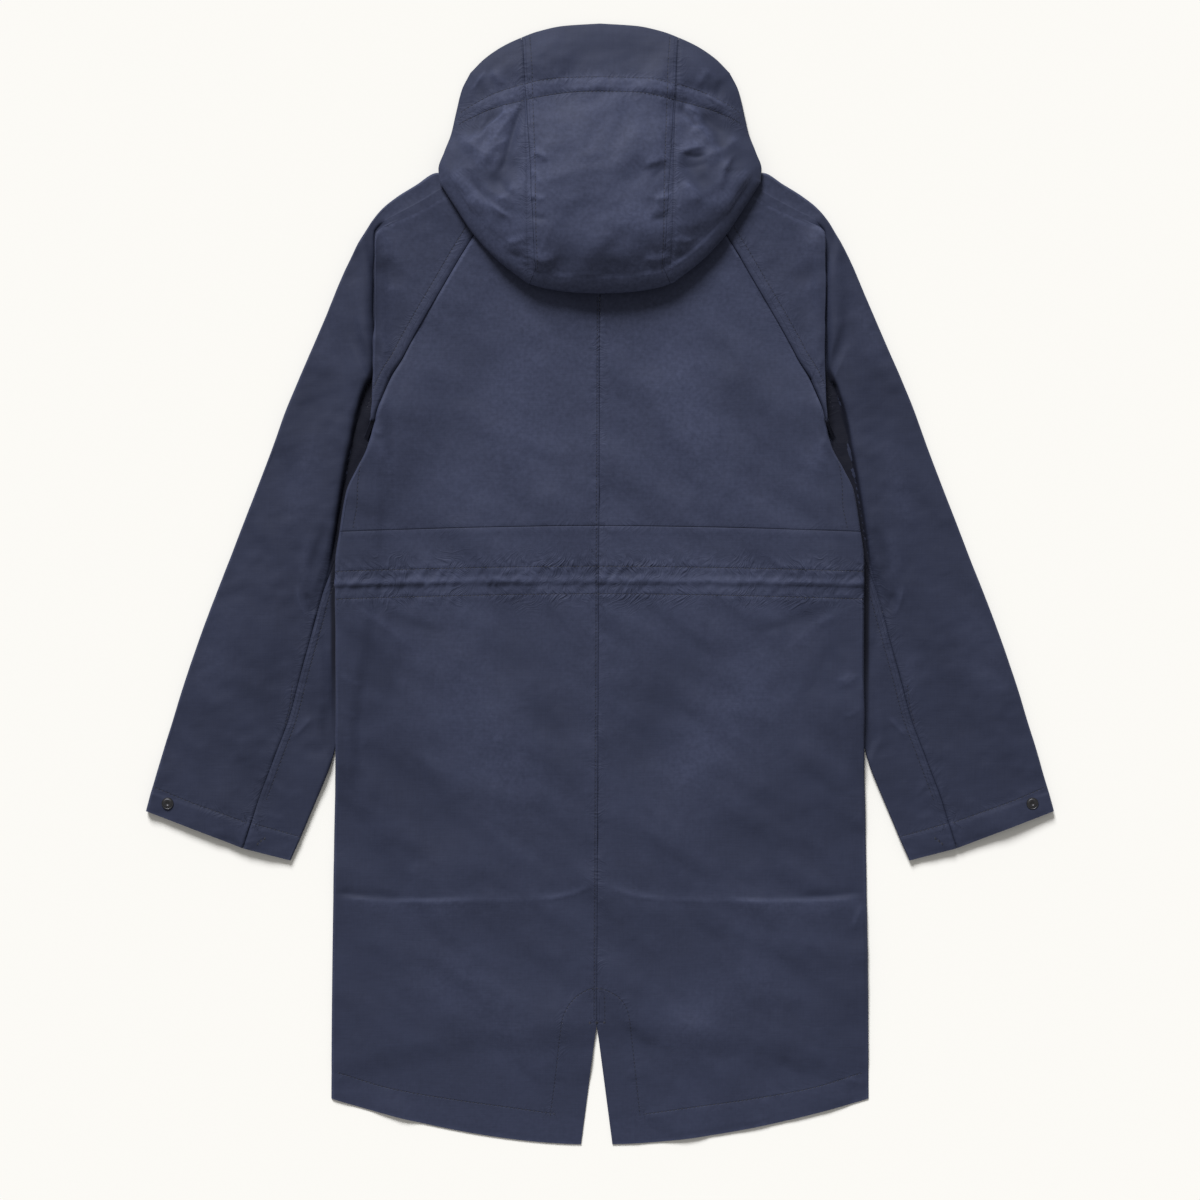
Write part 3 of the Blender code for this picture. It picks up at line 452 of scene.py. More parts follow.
def add_piece(
    name: str,
    points: Array,
    faces: Sequence[tuple[int, ...]],
    finish: bpy.types.Material,
    sharp_degrees: float = 60.0,
    **values: Array,
) -> bpy.types.Object:
    """Makes a smooth mesh object from points in millimetres.

    Args:
        name: The piece's name.
        points: Its points.
        faces: Its faces, as numbers of points.
        finish: Its material.
        sharp_degrees: Edges that turn more than this stay sharp.
        values: What its material reads, one value for each of its first points. The rest get 0.

    Returns:
        The new object.
    """
    mesh = bpy.data.meshes.new(name)
    mesh.from_pydata((points * MM).tolist(), [], list(faces))
    mesh.update()
    mesh.shade_smooth()
    mesh.set_sharp_from_angle(angle=math.radians(sharp_degrees))
    mesh.materials.append(finish)
    for key, given in values.items():
        full = np.zeros(len(points), np.float32)
        full[: given.size] = given.reshape(-1)
        mesh.attributes.new(key, "FLOAT", "POINT").data.foreach_set("value", full)
    made = bpy.data.objects.new(name, mesh)
    bpy.context.scene.collection.objects.link(made)
    return made


# ---------------------------------------------------------------- the body's form

CENTRE_DRIFT_Y = (303.0, -463.0)  # the centre back seam drifts off line between these
CENTRE_DRIFT_X = -3.5
VENT_TOP_Y = -463.0
VENT_HEM_X = {Side.LEFT: -20.0, Side.RIGHT: 13.0}
NECK_Y = 385.0
UNDERARM_Y = 171.0
ROW_BOW = 1.7  # power of the curve from a row's centre to its side
SIDE_ROLL = 3.2
BACK_LOFT, HEM_LOFT, SIDE_LOFT = 3.4, 1.4, 1.2  # air under the back: body, hem, over a sleeve
LOFT_FALLS = (-200.0, -430.0)
SIDE_FALL, SIDE_FALL_WIDTH = 0.45, 60.0
FRONT_LIFT = 3.5
LIFT_LIMIT_X, LIFT_FROM, LIFT_TO = 271.0, 22.0, 7.0
UNDER_ARM_LIFT = (205.0, 182.0)
SLEEVE_EMERGES = (-186.0, -218.0)
STACK_GAP = 0.35
FRONT_HEM = (-446.0, -490.0)
FRONT_INSET = 2.0
PAST_HEM = (12.0, 45.0)
SIDE_DOWN = (-500.0, -514.0)
EDGE_PUFF = 8.0  # the fabric's side edge stands this much prouder than the solid, over a sleeve
EDGE_PUFF_Y = (262.0, 182.0, -90.0, -240.0)  # starts, full, falls, gone
EDGE_PUFF_WIDTH = 85.0
CREST = 8.0  # the same along the shoulder fold
BODY_EDGE_Y, BODY_HALF_WIDTH = np.array(
    ((171, 235.5), (160, 238), (143, 243), (122, 254.5), (97, 266), (56, 273), (23, 277),
     (-17, 277), (-153, 277), (-269, 279), (-456, 281.5), (-540, 282.0))
).T
# where the rows of the back cross the centre and the side
UPPER_ROWS = np.array(((160, 160), (143, 143), (122, 122), (100, 97), (80, 75), (61, 54.5)))
LOWER_ROWS = np.array(
    ((61, 54.5), (18.4, 13), (-10.5, -16), (-120, -126), (-262, -268), (-327, -333),
     (-400, -396), (-463, -450), (-525, -498), (-559, -514.5), (-588, -540))
)


class RaglanStation(NamedTuple):
    """A row of the sleeve above the underarm, from the raglan seam to the outer fold."""

    seam_x: float
    seam_y: float
    outer_x: float
    outer_y: float
    fold: float  # share of the row where the shoulder fold lies
    drop: float  # how far the cloth steps down outside that fold
    rise: float  # where it comes up again, from the fold
    rise_width: float


RAGLAN = table(
    RaglanStation,
    (118, 388, 152, 428, 0.60, 0, 4, 12),
    (125, 377, 163, 431, 0.62, 0, 5, 14),
    (132, 366, 171, 431, 0.66, 0, 6, 15),
    (147, 342, 192, 419, 0.72, 0, 6, 15),
    (161, 318, 213, 406, 0.78, 0, 5, 12),
    (178, 289, 228, 394, 0.85, 0.2, 4, 8),
    (194, 261, 239, 381, 0.90, 1.2, 0.6, 5),
    (201, 248, 247, 368, 0.76, 2.0, 0.6, 12),
    (207, 236, 254, 356, 0.62, 2.4, 0.6, 18),
    (219, 216, 264, 336, 0.384, 2.8, 1, 22),
    (228, 195, 278, 303, 0.17, 3.2, 5, 11),
    (233, 182, 290, 275, 0.07, 3.3, 17, 8),
    (235.5, 171, 302, 247, 0.04, 3.3, 18.5, 8),
)
FULL_DROP = 3.3


class ArmStation(NamedTuple):
    """A row of the sleeve below the underarm: elbow seam, outer fold and inner fold."""

    seam_x: float
    seam_y: float
    outer_x: float
    outer_y: float
    inner_x: float
    inner_y: float
    rise: float  # where the cloth comes up from under the body, from the elbow seam
    rise_width: float
    front_seam: float  # share from the inner to the outer fold, on the front layer


ARM = table(
    ArmStation,
    (244, 150, 315, 217, 238, 140, 19, 8, 0.05),
    (248, 122, 329, 183, 241, 108, 19.5, 8, 0.10),
    (258, 85, 345, 139, 244, 68, 15, 8, 0.15),
    (270, 48, 361, 97, 247, 30, 8.5, 8, 0.20),
    (281, 17, 375, 61, 250, -5, 3, 9, 0.24),
    (291, -10, 388, 27, 254, -33, 0, 12, 0.28),
    (298, -36, 400, -4, 258, -60, -8, 18, 0.31),
    (308, -73, 415, -43, 264, -95, -29, 14, 0.34),
    (316, -102, 427, -77, 269, -125, -38, 14, 0.35),
    (326, -140, 439, -113, 275, -160, -43, 12, 0.35),
    (339, -175, 449, -146, 282.5, -190, -70, 12, 0.35),
    (348, -199, 457.5, -173, 291.5, -213, -90, 12, 0.35),
    (357, -223, 465.5, -201, 302.5, -239, -90, 12, 0.35),
    (366, -252, 470.8, -218.5, 313.6, -265.5, -90, 12, 0.35),
    (374, -277, 476, -238, 324.5, -290, -90, 12, 0.35),
)
OUTER_ROLL = 2.6
SLEEVE_TOP, SLEEVE_LOW = 5.2, 3.1
SLEEVE_PUFF = 1.5  # air that the fabric keeps in the middle of a sleeve, over the solid
FOLD_ROLL = 6.0  # a sleeve's own fold stands this proud beside the dark hollow at the armpit
FOLD_ROLL_WIDTH = 26.0
FOLD_ROLL_Y = (-20.0, 60.0)
CUFF_EXTRA = 0.6
CUFF_WIDTH = 26.0
LEAST_FOLD = 3.2  # the shoulder fold keeps this far from the raglan seam
TUCK = 2.6  # how far its lip is tucked in
# the hump before it: distance from the fold, and share of the way up to its crest
HUMP = np.array(((45.0, 0.3), (20.0, 0.75), (4.0, 1.0)))
# the lip: distance outside the fold, share of the tuck, and share of the way down
LIP = ((-1, 0, 0.10), (0, 0, 0.32), (0, 0.5, 0.62), (0, 1, 0.88), (0.4, 0.7, 1), (1.6, 0, 1))
PUFF_ENDS = 40.0  # a sleeve's puff falls off over this width before its outer fold


def centre_x(y: Array | float) -> Array:
    """Finds where the centre back seam lies at a height y."""
    top, bottom = CENTRE_DRIFT_Y
    return CENTRE_DRIFT_X * np.clip((top - y) / (top - bottom), 0.0, 1.0)


def half_width(y: Array | float) -> Array:
    """Finds the body's half width at a height y."""
    return along(BODY_EDGE_Y, BODY_HALF_WIDTH, y)


def front_height(x: Array, y: Array) -> Array:
    """Finds the front's outer face: the floor, and the strip that lies on a sleeve."""
    inner = along(column(ARM, "inner_y"), column(ARM, "inner_x"), y)
    inner = np.minimum(inner, LIFT_LIMIT_X)
    up = smooth_step(np.abs(x), inner - LIFT_FROM, inner - LIFT_TO)
    reach = smooth_step(y, *UNDER_ARM_LIFT) * smooth_step(y, *SLEEVE_EMERGES[::-1])
    return FRONT_LIFT * up * reach


def back_height(x: Array | float, y: Array | float, puff_share: float = 1.0) -> Array:
    """Finds the back's outer face on all that lies under it.

    Args:
        x: Places in plan.
        y: Places in plan.
        puff_share: Share of the side edge's puff to count.

    Returns:
        Its height, in millimetres.
    """
    centre, side = FRONT_HEM
    hem_y = centre + (side - centre) * (np.abs(x) / BODY_HALF_WIDTH[-1]) ** 2
    past_hem = smooth_step(y, hem_y - PAST_HEM[0], hem_y - PAST_HEM[1])
    lift, edge = front_height(x, y), half_width(y)
    loft = BACK_LOFT + (HEM_LOFT - BACK_LOFT) * smooth_step(y, *LOFT_FALLS)
    loft = loft * (1.0 - SIDE_FALL * smooth_step(np.abs(x), edge - SIDE_FALL_WIDTH, edge))
    loft = loft + (SIDE_LOFT - loft) * lift / FRONT_LIFT
    starts, full, falls, gone = EDGE_PUFF_Y
    puff = smooth_step(y, starts, full) * smooth_step(y, gone, falls)
    puff = puff * smooth_step(np.abs(x), edge - EDGE_PUFF_WIDTH, edge - 3.0)
    return (WALL + lift + loft) * (1.0 - past_hem) + WALL + EDGE_PUFF * puff * puff_share


@dataclass
class BackRows:
    """Rows of the back at a fine spacing: y at the centre, and y and x at the side."""

    y_centre: Array
    y_side: Array
    x_side: Array

    @classmethod
    def under_raglan(cls) -> "BackRows":
        """Makes the rows that end at the raglan seam."""
        seam = np.array(RAGLAN)[:, :2]
        keys = running_length(seam)
        at = dense(keys, GRID)
        y_centre = NECK_Y + (UNDERARM_Y - NECK_Y) * np.interp(at, keys, np.arange(13) / 12.0)
        x_side = along(keys, seam[:, 0], at) - 0.7 * SEAM_GAP
        return cls(y_centre, along(keys, seam[:, 1], at), x_side)

    @classmethod
    def between(cls, rows: Array) -> "BackRows":
        """Makes rows from a table's first row to its last."""
        keys = np.concatenate([[0.0], np.cumsum(np.max(-np.diff(rows, axis=0), axis=1))])
        at = dense(keys, GRID)
        y_side = along(keys, rows[:, 1], at)
        return cls(along(keys, rows[:, 0], at), y_side, half_width(y_side))

    def grid(self, side: Side, roll: Array) -> tuple[Array, int]:
        """Works out the points of the rows, from the centre seam to the side.

        Args:
            side: The wearer's side.
            roll: 1 for a row that rolls down at its side, 0 for one that ends at a seam.

        Returns:
            The points and how many columns come before the roll.
        """
        x_in = centre_x(self.y_centre) + side * SEAM_GAP / 2
        start = CENTRE_DRIFT_X + side * SEAM_GAP / 2
        opened = (VENT_TOP_Y - self.y_centre) / (VENT_TOP_Y - LOWER_ROWS[-1, 0])
        vent = start + (VENT_HEM_X[side] - start) * opened
        x_in = np.where(self.y_centre < VENT_TOP_Y, vent, x_in)[:, None]
        x_out, y_out = side * self.x_side[:, None], self.y_side[:, None]
        count = int(np.max(np.abs(x_out - x_in)) / GRID)
        turn = np.radians(np.linspace(0.0, 90.0, 8))[1:]
        reach = np.abs(x_out - x_in) - SIDE_ROLL
        flat = np.linspace(0.0, 1.0, count) * reach
        share = np.hstack([flat, reach + SIDE_ROLL * np.sin(turn)]) / (reach + SIDE_ROLL)
        x = x_in + (x_out - x_in) * share
        y = self.y_centre[:, None] + (y_out - self.y_centre[:, None]) * share**ROW_BOW
        z = back_height(x, y)
        floor_only = smooth_step(y_out, *SIDE_DOWN)
        bottom = (front_height(x_out, y_out) + WALL) * (1.0 - floor_only) + STACK_GAP
        rolled = bottom + (z[:, count - 1 : count] - bottom) * np.cos(turn)
        z[:, count:] = z[:, count:] * (1 - roll[:, None]) + rolled * roll[:, None]
        return np.stack([x, y, z], axis=-1), count


# ---------------------------------------------------------------- the sleeves' form

SEAM_COLUMNS = 40  # points of a sleeve row from its seam to the shoulder fold
LIP_COLUMNS = 12  # round the fold's lip
TOP_COLUMNS = 58  # from the lip's foot to the outer fold
ROLL_COLUMNS = 10
FRONT_COLUMNS = 12
UNDER_COLUMNS, UNDER_FRONT_COLUMNS = 44, 8  # of the under-sleeve's back and front layers


def spaced(points: Array, count: int) -> Array:
    """Puts count points at equal distances along a line, with both its ends."""
    lengths = running_length(points)
    at = np.linspace(0.0, lengths[-1], count)
    return np.column_stack([np.interp(at, lengths, values) for values in points.T])


def fold_roll(across: Array, full: float) -> Array:
    """Holds a sleeve's own fold up beside the hollow at the armpit."""
    return FOLD_ROLL * np.exp(-((np.maximum(across - full, 0.0) / FOLD_ROLL_WIDTH) ** 2))


def rounded_rise(across: Array, start: float, full: float) -> Array:
    """Rises from 0 at start to 1 at full like a quarter circle, steep at first."""
    left_over = 1.0 - np.clip((across - start) / (full - start), 0.0, 1.0)
    return np.sqrt(1.0 - left_over**2)


def arm_rise(station: ArmStation, across: Array | float) -> Array:
    """Finds a sleeve's outer face across a row, from under the body up to its full height."""
    step = smooth_step(across, station.rise, station.rise + station.rise_width)
    return SLEEVE_LOW + (SLEEVE_TOP - SLEEVE_LOW) * step


@dataclass(frozen=True)
class RowLine:
    """A row of a sleeve in plan: from its seam along the back layer to a fold, and back under.

    Attributes:
        seam: Where the row starts.
        fold: Its fold's outermost point.
        start: How far from the seam the cloth starts.
    """

    seam: Array
    fold: Array
    start: float

    @property
    def direction(self) -> Array:
        """The row's direction, of length 1."""
        return (self.fold - self.seam) / np.linalg.norm(self.fold - self.seam)

    def length(self) -> float:
        """The row's length from where the cloth starts to the fold."""
        return float(np.linalg.norm(self.fold - self.seam - self.direction * self.start))

    def points(self, back: Array, top: float, roll: float, end: Array, front: int) -> Array:
        """Stands the back layer up on the row, rounds its fold and runs the front layer home.

        Args:
            back: Distance and height of the back layer's points.
            top: Height of the fold.
            roll: How wide it is.
            end: Where the front layer ends.
            front: How many points it has.

        Returns:
            The row's points, [x, y, z] each.
        """
        turn = np.radians(np.linspace(0.0, 180.0, ROLL_COLUMNS + 1))[1:]
        run = self.length() - roll * (1.0 - np.sin(turn))
        fold = np.column_stack([run, top * (1.0 + np.cos(turn)) / 2])
        profile = np.vstack([back, fold])
        origin = self.seam + self.direction * self.start
        plan = origin + np.outer(profile[:, 0], self.direction)
        shares = np.linspace(0.0, 1.0, front + 1)[1:, None]
        under = plan[-1] + shares * (end - plan[-1])
        layers = ((plan, profile[:, 1]), (under, np.zeros(front)))
        return np.vstack([np.column_stack(layer) for layer in layers])


def raglan_profile(station: RaglanStation) -> Array:
    """Works out a row of the sleeve from the raglan seam over the shoulder fold's lip."""
    line = RowLine(np.array(station[:2]), np.array(station[2:4]), 0.7 * SEAM_GAP)
    length = line.length()
    folded = station.drop / FULL_DROP
    seam_z, plain_z = (float(back_height(*station[:2], share)) for share in (1.0, 0.0))
    fold = max(station.fold * length, LEAST_FOLD)
    crest = max(seam_z + 0.3 * folded, plain_z + CREST * float(smooth_step(folded, 0.0, 0.45)))
    low = SLEEVE_LOW + (plain_z - SLEEVE_LOW) * (1 - smooth_step(folded, 0.0, 0.3))
    squeeze = min(1.0, fold / HUMP[0, 0])
    away, rises = HUMP[int(squeeze < 1) :].T
    before, hump = fold - away * squeeze, seam_z + (crest - seam_z) * rises
    run, run_inner = before[-1], np.linspace(0.0, before[-1], 80)
    inner_z = along(np.array([0.0, *before]), np.array([seam_z, *hump]), run_inner)
    tuck = TUCK * float(smooth_step(folded, 0.1, 0.6))
    lip = [(run, crest)]
    lip += [(fold + out - in_ * tuck, crest - down * (crest - low)) for out, in_, down in LIP]
    rise = fold + 1.3 + station.rise
    full = min(rise + station.rise_width, length - OUTER_ROLL - 4.0)
    run_top = np.linspace(fold + LIP[-1][0], length - OUTER_ROLL, 160)
    wide = smooth_step(station.rise + station.rise_width, 12.0, 20.0)
    risen = rounded_rise(run_top, min(rise, full - 2.0), full)
    top_z = low + (SLEEVE_TOP + wide * folded * fold_roll(run_top, full) - low) * risen
    puffed = smooth_step(run_top, rise, full + 25.0)
    puffed *= smooth_step(run_top, length, length - PUFF_ENDS)
    top_z = top_z + SLEEVE_PUFF * puffed * smooth_step(length - full, 20.0, 60.0)
    back = [
        spaced(np.column_stack([run_inner, inner_z]), SEAM_COLUMNS),
        spaced(spaced(smooth_path(lip, 0.3), 60), LIP_COLUMNS + 1)[1:],
        spaced(np.column_stack([run_top, top_z]), TOP_COLUMNS + 1)[1:],
    ]
    end = line.seam + line.direction * (line.start + SEAM_GAP)
    return line.points(np.vstack(back), top_z[-1], OUTER_ROLL, end, FRONT_COLUMNS)


def arm_profile(station: ArmStation, near: float) -> Array:
    """Works out a row of the main sleeve panel below the underarm.

    Args:
        station: The row.
        near: Share of its width that the columns next to the seam take.

    Returns:
        Its points, [x, y, z] each.
    """
    seam, outer, inner = (np.array(station[i : i + 2]) for i in (0, 2, 4))
    line = RowLine(seam, outer, SEAM_GAP / 2)
    length = line.length()
    beside_seam = np.linspace(0.0, near * length, SEAM_COLUMNS + LIP_COLUMNS, endpoint=False)
    rest = np.linspace(near * length, length - OUTER_ROLL, TOP_COLUMNS)
    across = np.concatenate([beside_seam, rest])
    z = arm_rise(station, across)
    full = max(station.rise, 0.0) + 12.0
    puffed = smooth_step(across, full - 12.0, full + 30.0)
    puffed = puffed * smooth_step(across, length, length - 45.0)
    full = station.rise + station.rise_width
    roll = SLEEVE_TOP + fold_roll(across, full) - SLEEVE_LOW
    steep = SLEEVE_LOW + roll * rounded_rise(across, station.rise, full)
    z = z + (steep - z) * smooth_step(station.seam_y, *FOLD_ROLL_Y) + SLEEVE_PUFF * puffed
    end = inner + (outer - inner) * station.front_seam + line.direction * SEAM_GAP / 2
    return line.points(np.column_stack([across, z]), z[-1], OUTER_ROLL, end, FRONT_COLUMNS)


def under_profile(station: ArmStation) -> Array:
    """Works out a row of the under-sleeve panel."""
    seam, outer, inner = (np.array(station[i : i + 2]) for i in (0, 2, 4))
    line = RowLine(seam, inner, 0.0)
    length = line.length()
    top = float(arm_rise(station, -(length - SLEEVE_LOW / 2)))
    across = np.linspace(SEAM_GAP / 2, length - top / 2, UNDER_COLUMNS)
    back = np.column_stack([across, arm_rise(station, -across)])
    outward = (outer - inner) / np.linalg.norm(outer - inner)
    end = inner + (outer - inner) * station.front_seam - outward * SEAM_GAP / 2
    return line.points(back, top, top / 2, end, UNDER_FRONT_COLUMNS)


def sampled_rows(rows: Sequence[NamedTuple], *first: int) -> tuple[list[NamedTuple], Array]:
    """Fills a table of rows at the grid's spacing.

    Args:
        rows: The table.
        first: Numbers of the x columns of the lines that the spacing is measured on.

    Returns:
        The filled rows and the running length of each.
    """
    values = np.array(rows)
    keys = running_length(*(values[:, i : i + 2] for i in first))
    at = dense(keys, GRID)
    filled = np.column_stack([along(keys, one, at) for one in values.T])
    return [type(rows[0])(*row) for row in filled.tolist()], at


def sleeve_grid() -> tuple[Array, Array]:
    """Works out the main sleeve panel, on the wearer's right, and each row's way to the cuff."""
    upper = np.array([raglan_profile(station) for station in sampled_rows(RAGLAN, 0, 2)[0]])
    arm, run = sampled_rows(ARM, 0, 2)
    near = 0.06 + 0.34 * smooth_step(run, 0.0, 190.0)
    lower = np.array([arm_profile(station, float(share)) for station, share in zip(arm, near)])
    count = int(np.max(np.linalg.norm(upper[-1] - lower[0], axis=1)) / GRID)
    shares = np.linspace(0.0, 1.0, count + 1)[1:-1, None, None]
    rows = np.concatenate([upper, upper[-1] + (lower[0] - upper[-1]) * shares, lower])
    far = np.full(len(rows) - len(lower), 1e3)
    return rows, np.concatenate([far, run[-1] - run])


def under_sleeve_grid() -> tuple[Array, Array]:
    """Works out the under-sleeve panel in the same way."""
    arm, run = sampled_rows(ARM, 0, 4)
    return np.array([under_profile(station) for station in arm]), run[-1] - run


# ---------------------------------------------------------------- the hood's form

HOOD_SEAM_SHARE = 0.55  # place of a hood seam between the middle, 0, and the side, 1
HOOD_SEAM_TOP_X = 83.0
HOOD_SEAM_POUCH_X = 73.5
HOOD_SPACING = 2.1
ON_BACK = 6.35
RIM_MIDDLE = 0.3
RIM_REACH = 4.0  # how far the rim's rounding reaches, for each millimetre of roll
RIM_POWER = 1.6
HOOD_RETURN = 8.0
HOOD_EDGE = (10.0, 25.0)  # height of the hood's sides, at its top and from the channel down
HOOD_CROWN = 2.6  # power of its curve from the middle to the sides
NORMAL_ROUNDS, CORNER_ROUNDS, RIM_ROUNDS = 40, 60, 12  # rounds of smoothing
RIM_RELIEF = 0.35  # share of the folds that is left at the rim
# the outline's points: x, y, radius of the rounded edge, and the height that it lies on
HOOD_TOP, HOOD_SIDE, HOOD_POUCH = (
    np.array(rows, float)
    for rows in (
        ((0, 588, 5, 0), (38, 585.5, 5, 0), (64, 580, 5, 0), (83, 573, 5, 0), (102, 564, 5, 0),
         (121, 551, 5.5, 0), (136, 536, 6, 0)),
        ((136, 536, 6, 0), (145, 518, 6, 0), (151, 494, 7, 0), (156, 472, 7, 0),
         (163, 452, 8, ON_BACK), (169, 434, 9, ON_BACK), (168, 420, 10, ON_BACK)),
        ((0, 303, 17, ON_BACK), (25, 304, 17, ON_BACK), (50, 307, 17, ON_BACK),
         (73, 313, 16, ON_BACK), (90, 324.5, 15, ON_BACK), (107, 338, 14, ON_BACK),
         (132, 365, 13, ON_BACK), (152, 395, 12, ON_BACK), (168, 420, 10, ON_BACK)),
    )
)
# the rows' shares of the way from the top edge to the pouch's rim, middle and side, and heights
HOOD_MIDDLES, HOOD_SIDES, HOOD_HEIGHTS = np.array(
    ((0, 0, 9), (0.09, 0.16, 13.5), (0.175, 0.30, 18), (0.23, 0.39, 21), (0.29, 0.47, 24.4),
     (0.38, 0.55, 31), (0.48, 0.62, 37.5), (0.60, 0.70, 43), (0.72, 0.78, 46.5),
     (0.84, 0.87, 47.5), (0.93, 0.94, 47), (1, 1, 46))
).T


def rim_curve(rows: Array, shares: Array, key: int) -> Array:
    """Reads one side of the hood's outline at shares, 0 to 1, of one of its columns."""
    keys = rows[:, key]
    at = keys[0] + (keys[-1] - keys[0]) * shares
    return np.column_stack([along(keys, values, at) for values in rows.T])


def to_unit(vectors: Array) -> Array:
    """Gives each vector a length of 1."""
    return vectors / np.maximum(np.linalg.norm(vectors, axis=1, keepdims=True), 1e-9)


@dataclass
class HoodForm:
    """The hood's rounded shell: a grid of its top, and rings round its rim.

    Attributes:
        points: All points, the grid's first and then ring by ring.
        quads: Its faces, outwards.
        seam_column: The grid column that each point belongs to.
        shown: Share of the relief that each point takes.
        left_seam: Column of the left seam.
        right_seam: Column of the right seam.
        ring_size: Number of points of one ring.
    """

    points: Array
    quads: Array
    seam_column: Array
    shown: Array
    left_seam: int
    right_seam: int
    ring_size: int

    @classmethod
    def made(cls) -> "HoodForm":
        """Works out the shell from the tables of its outline and rows."""
        shares = dense(np.array([-1.0, -HOOD_SEAM_SHARE, HOOD_SEAM_SHARE, 1.0]), HOOD_SPACING / 150)
        middle = dense(HOOD_MIDDLES, HOOD_SPACING / 275)
        columns, rows, share = len(shares), len(middle), np.abs(shares)
        way_side = along(HOOD_MIDDLES, HOOD_SIDES, middle)
        rims = []
        for rim, seam_x in ((HOOD_TOP, HOOD_SEAM_TOP_X), (HOOD_POUCH, HOOD_SEAM_POUCH_X)):
            place = np.interp(share, [0.0, HOOD_SEAM_SHARE, 1.0], [0, seam_x / rim[-1, 0], 1])
            rims.append(rim_curve(rim, place, 0))
            rims[-1][:, 0] *= np.sign(shares)
        side = rim_curve(HOOD_SIDE, way_side, 1)
        left = side * [-1.0, 1.0, 1.0, 1.0]
        loop = np.vstack([rims[0], side[1:-1], rims[1][::-1], left[-2:0:-1]])
        tangent = (np.roll(loop, -1, axis=0) - np.roll(loop, 1, axis=0))[:, :2]
        normal = to_unit(np.column_stack([-tangent[:, 1], tangent[:, 0]]))
        for _ in range(NORMAL_ROUNDS):
            normal = (np.roll(normal, 1, axis=0) + 2 * normal + np.roll(normal, -1, axis=0)) / 4
        normal = to_unit(normal)
        inset = loop[:, :2] - normal * loop[:, 2:3]
        right = inset[columns - 1 : columns + rows - 1]
        pouch = inset[columns + rows - 2 : 2 * columns + rows - 2][::-1]
        plan = cls.plan(shares, middle, way_side, (inset[:columns], right, pouch))
        top_edge, low_edge = HOOD_EDGE
        edge = top_edge + (low_edge - top_edge) * smooth_step(way_side, 0.25, 1.0)[:, None]
        heights = along(HOOD_MIDDLES, HOOD_HEIGHTS, middle)[:, None]
        z = edge + (heights - edge) * (1.0 - share**HOOD_CROWN)
        distance = np.linalg.norm(plan.reshape(-1, 1, 2) - loop[None, :, :2], axis=2)
        closest = np.argmin(distance, axis=1).reshape(z.shape)
        distance = np.min(distance, axis=1).reshape(z.shape)
        border_z = np.concatenate([z[0], z[1:-1, -1], z[-1, ::-1], z[-2:0:-1, 0]])
        middle_z = loop[:, 3] + (border_z - loop[:, 3]) * RIM_MIDDLE
        reach = loop[:, 2] * RIM_REACH
        for _ in range(RIM_ROUNDS):
            reach, middle_z = ((np.roll(v, 1) + v + np.roll(v, -1)) / 3 for v in (reach, middle_z))
        z = middle_z[closest] + (z - middle_z[closest]) * cls.rounding(distance, reach[closest])
        flat = np.dstack([plan, z]).reshape(-1, 3)
        number = np.arange(rows * columns).reshape(rows, columns)
        border = np.concatenate([number[0], number[1:-1, -1], number[-1, ::-1], number[-2:0:-1, 0]])
        first = np.array(corners(rows, columns))
        quads = [np.stack([first + columns, first + columns + 1, first + 1, first], axis=1)]
        rings, shown = cls.rim_rings(flat[border], loop, normal, (border_z, middle_z, reach))
        count, previous = len(border), border
        for ring in range(len(rings)):
            current = len(flat) + ring * count + np.arange(count)
            after = np.roll(current, -1), np.roll(previous, -1)
            quads.append(np.stack([after[1], after[0], current, previous], axis=1))
            previous = current
        seam_column = np.concatenate([number.reshape(-1), np.tile(border, len(rings))]) % columns
        calm = RIM_RELIEF + (1.0 - RIM_RELIEF) * smooth_step(distance.reshape(-1), 5.0, 18.0)
        shown = np.concatenate([calm, RIM_RELIEF * np.repeat(shown, count)])
        seams = [int(np.argmin(np.abs(shares - s))) for s in (-HOOD_SEAM_SHARE, HOOD_SEAM_SHARE)]
        points = np.vstack([flat, *rings])
        return cls(points, np.vstack(quads), seam_column, shown, *seams, count)

    @staticmethod
    def plan(shares: Array, middle: Array, way_side: Array, inset: tuple[Array, ...]) -> Array:
        """Lays the grid of the hood's top out in plan.

        Args:
            shares: The columns' places, from -1 at the left to 1 at the right.
            middle: The rows' shares of the way down in the middle.
            way_side: The same at the side.
            inset: The outline moved in by its roll: top, right side and pouch.

        Returns:
            The grid's x and y.
        """
        top, right, pouch = inset
        share = np.abs(shares)
        to_side = smooth_step(share, 0.45, 1.0)
        way = middle[:, None] + (way_side - middle)[:, None] * to_side
        plan = top + (pouch - top) * way[..., None]
        bulge = right - (top[-1] + (pouch[-1] - top[-1]) * way_side[:, None])
        pull = np.clip((share - HOOD_SEAM_SHARE) / (1 - HOOD_SEAM_SHARE), 0.0, 1.0)
        plan[..., 0] += np.sign(shares) * pull * bulge[:, :1]
        plan[..., 1] += pull * bulge[:, 1:]
        corner = smooth_step(np.linalg.norm(np.abs(plan) - plan[-1, -1], axis=2), 60.0, 25.0)
        for _ in range(CORNER_ROUNDS):  # evens out the points where the side meets the pouch
            mean = (plan[:-2, 1:-1] + plan[2:, 1:-1] + plan[1:-1, :-2] + plan[1:-1, 2:]) / 4
            plan[1:-1, 1:-1] += (mean - plan[1:-1, 1:-1]) * corner[1:-1, 1:-1, None]
        return plan

    @staticmethod
    def rounding(distance: Array, reach: Array) -> Array:
        """Gives how much of its full height the hood has at a distance from its outline."""
        share = np.clip(1.0 - distance / reach, 0.0, 1.0)
        return (1.0 - share**RIM_POWER) ** (1.0 / RIM_POWER)

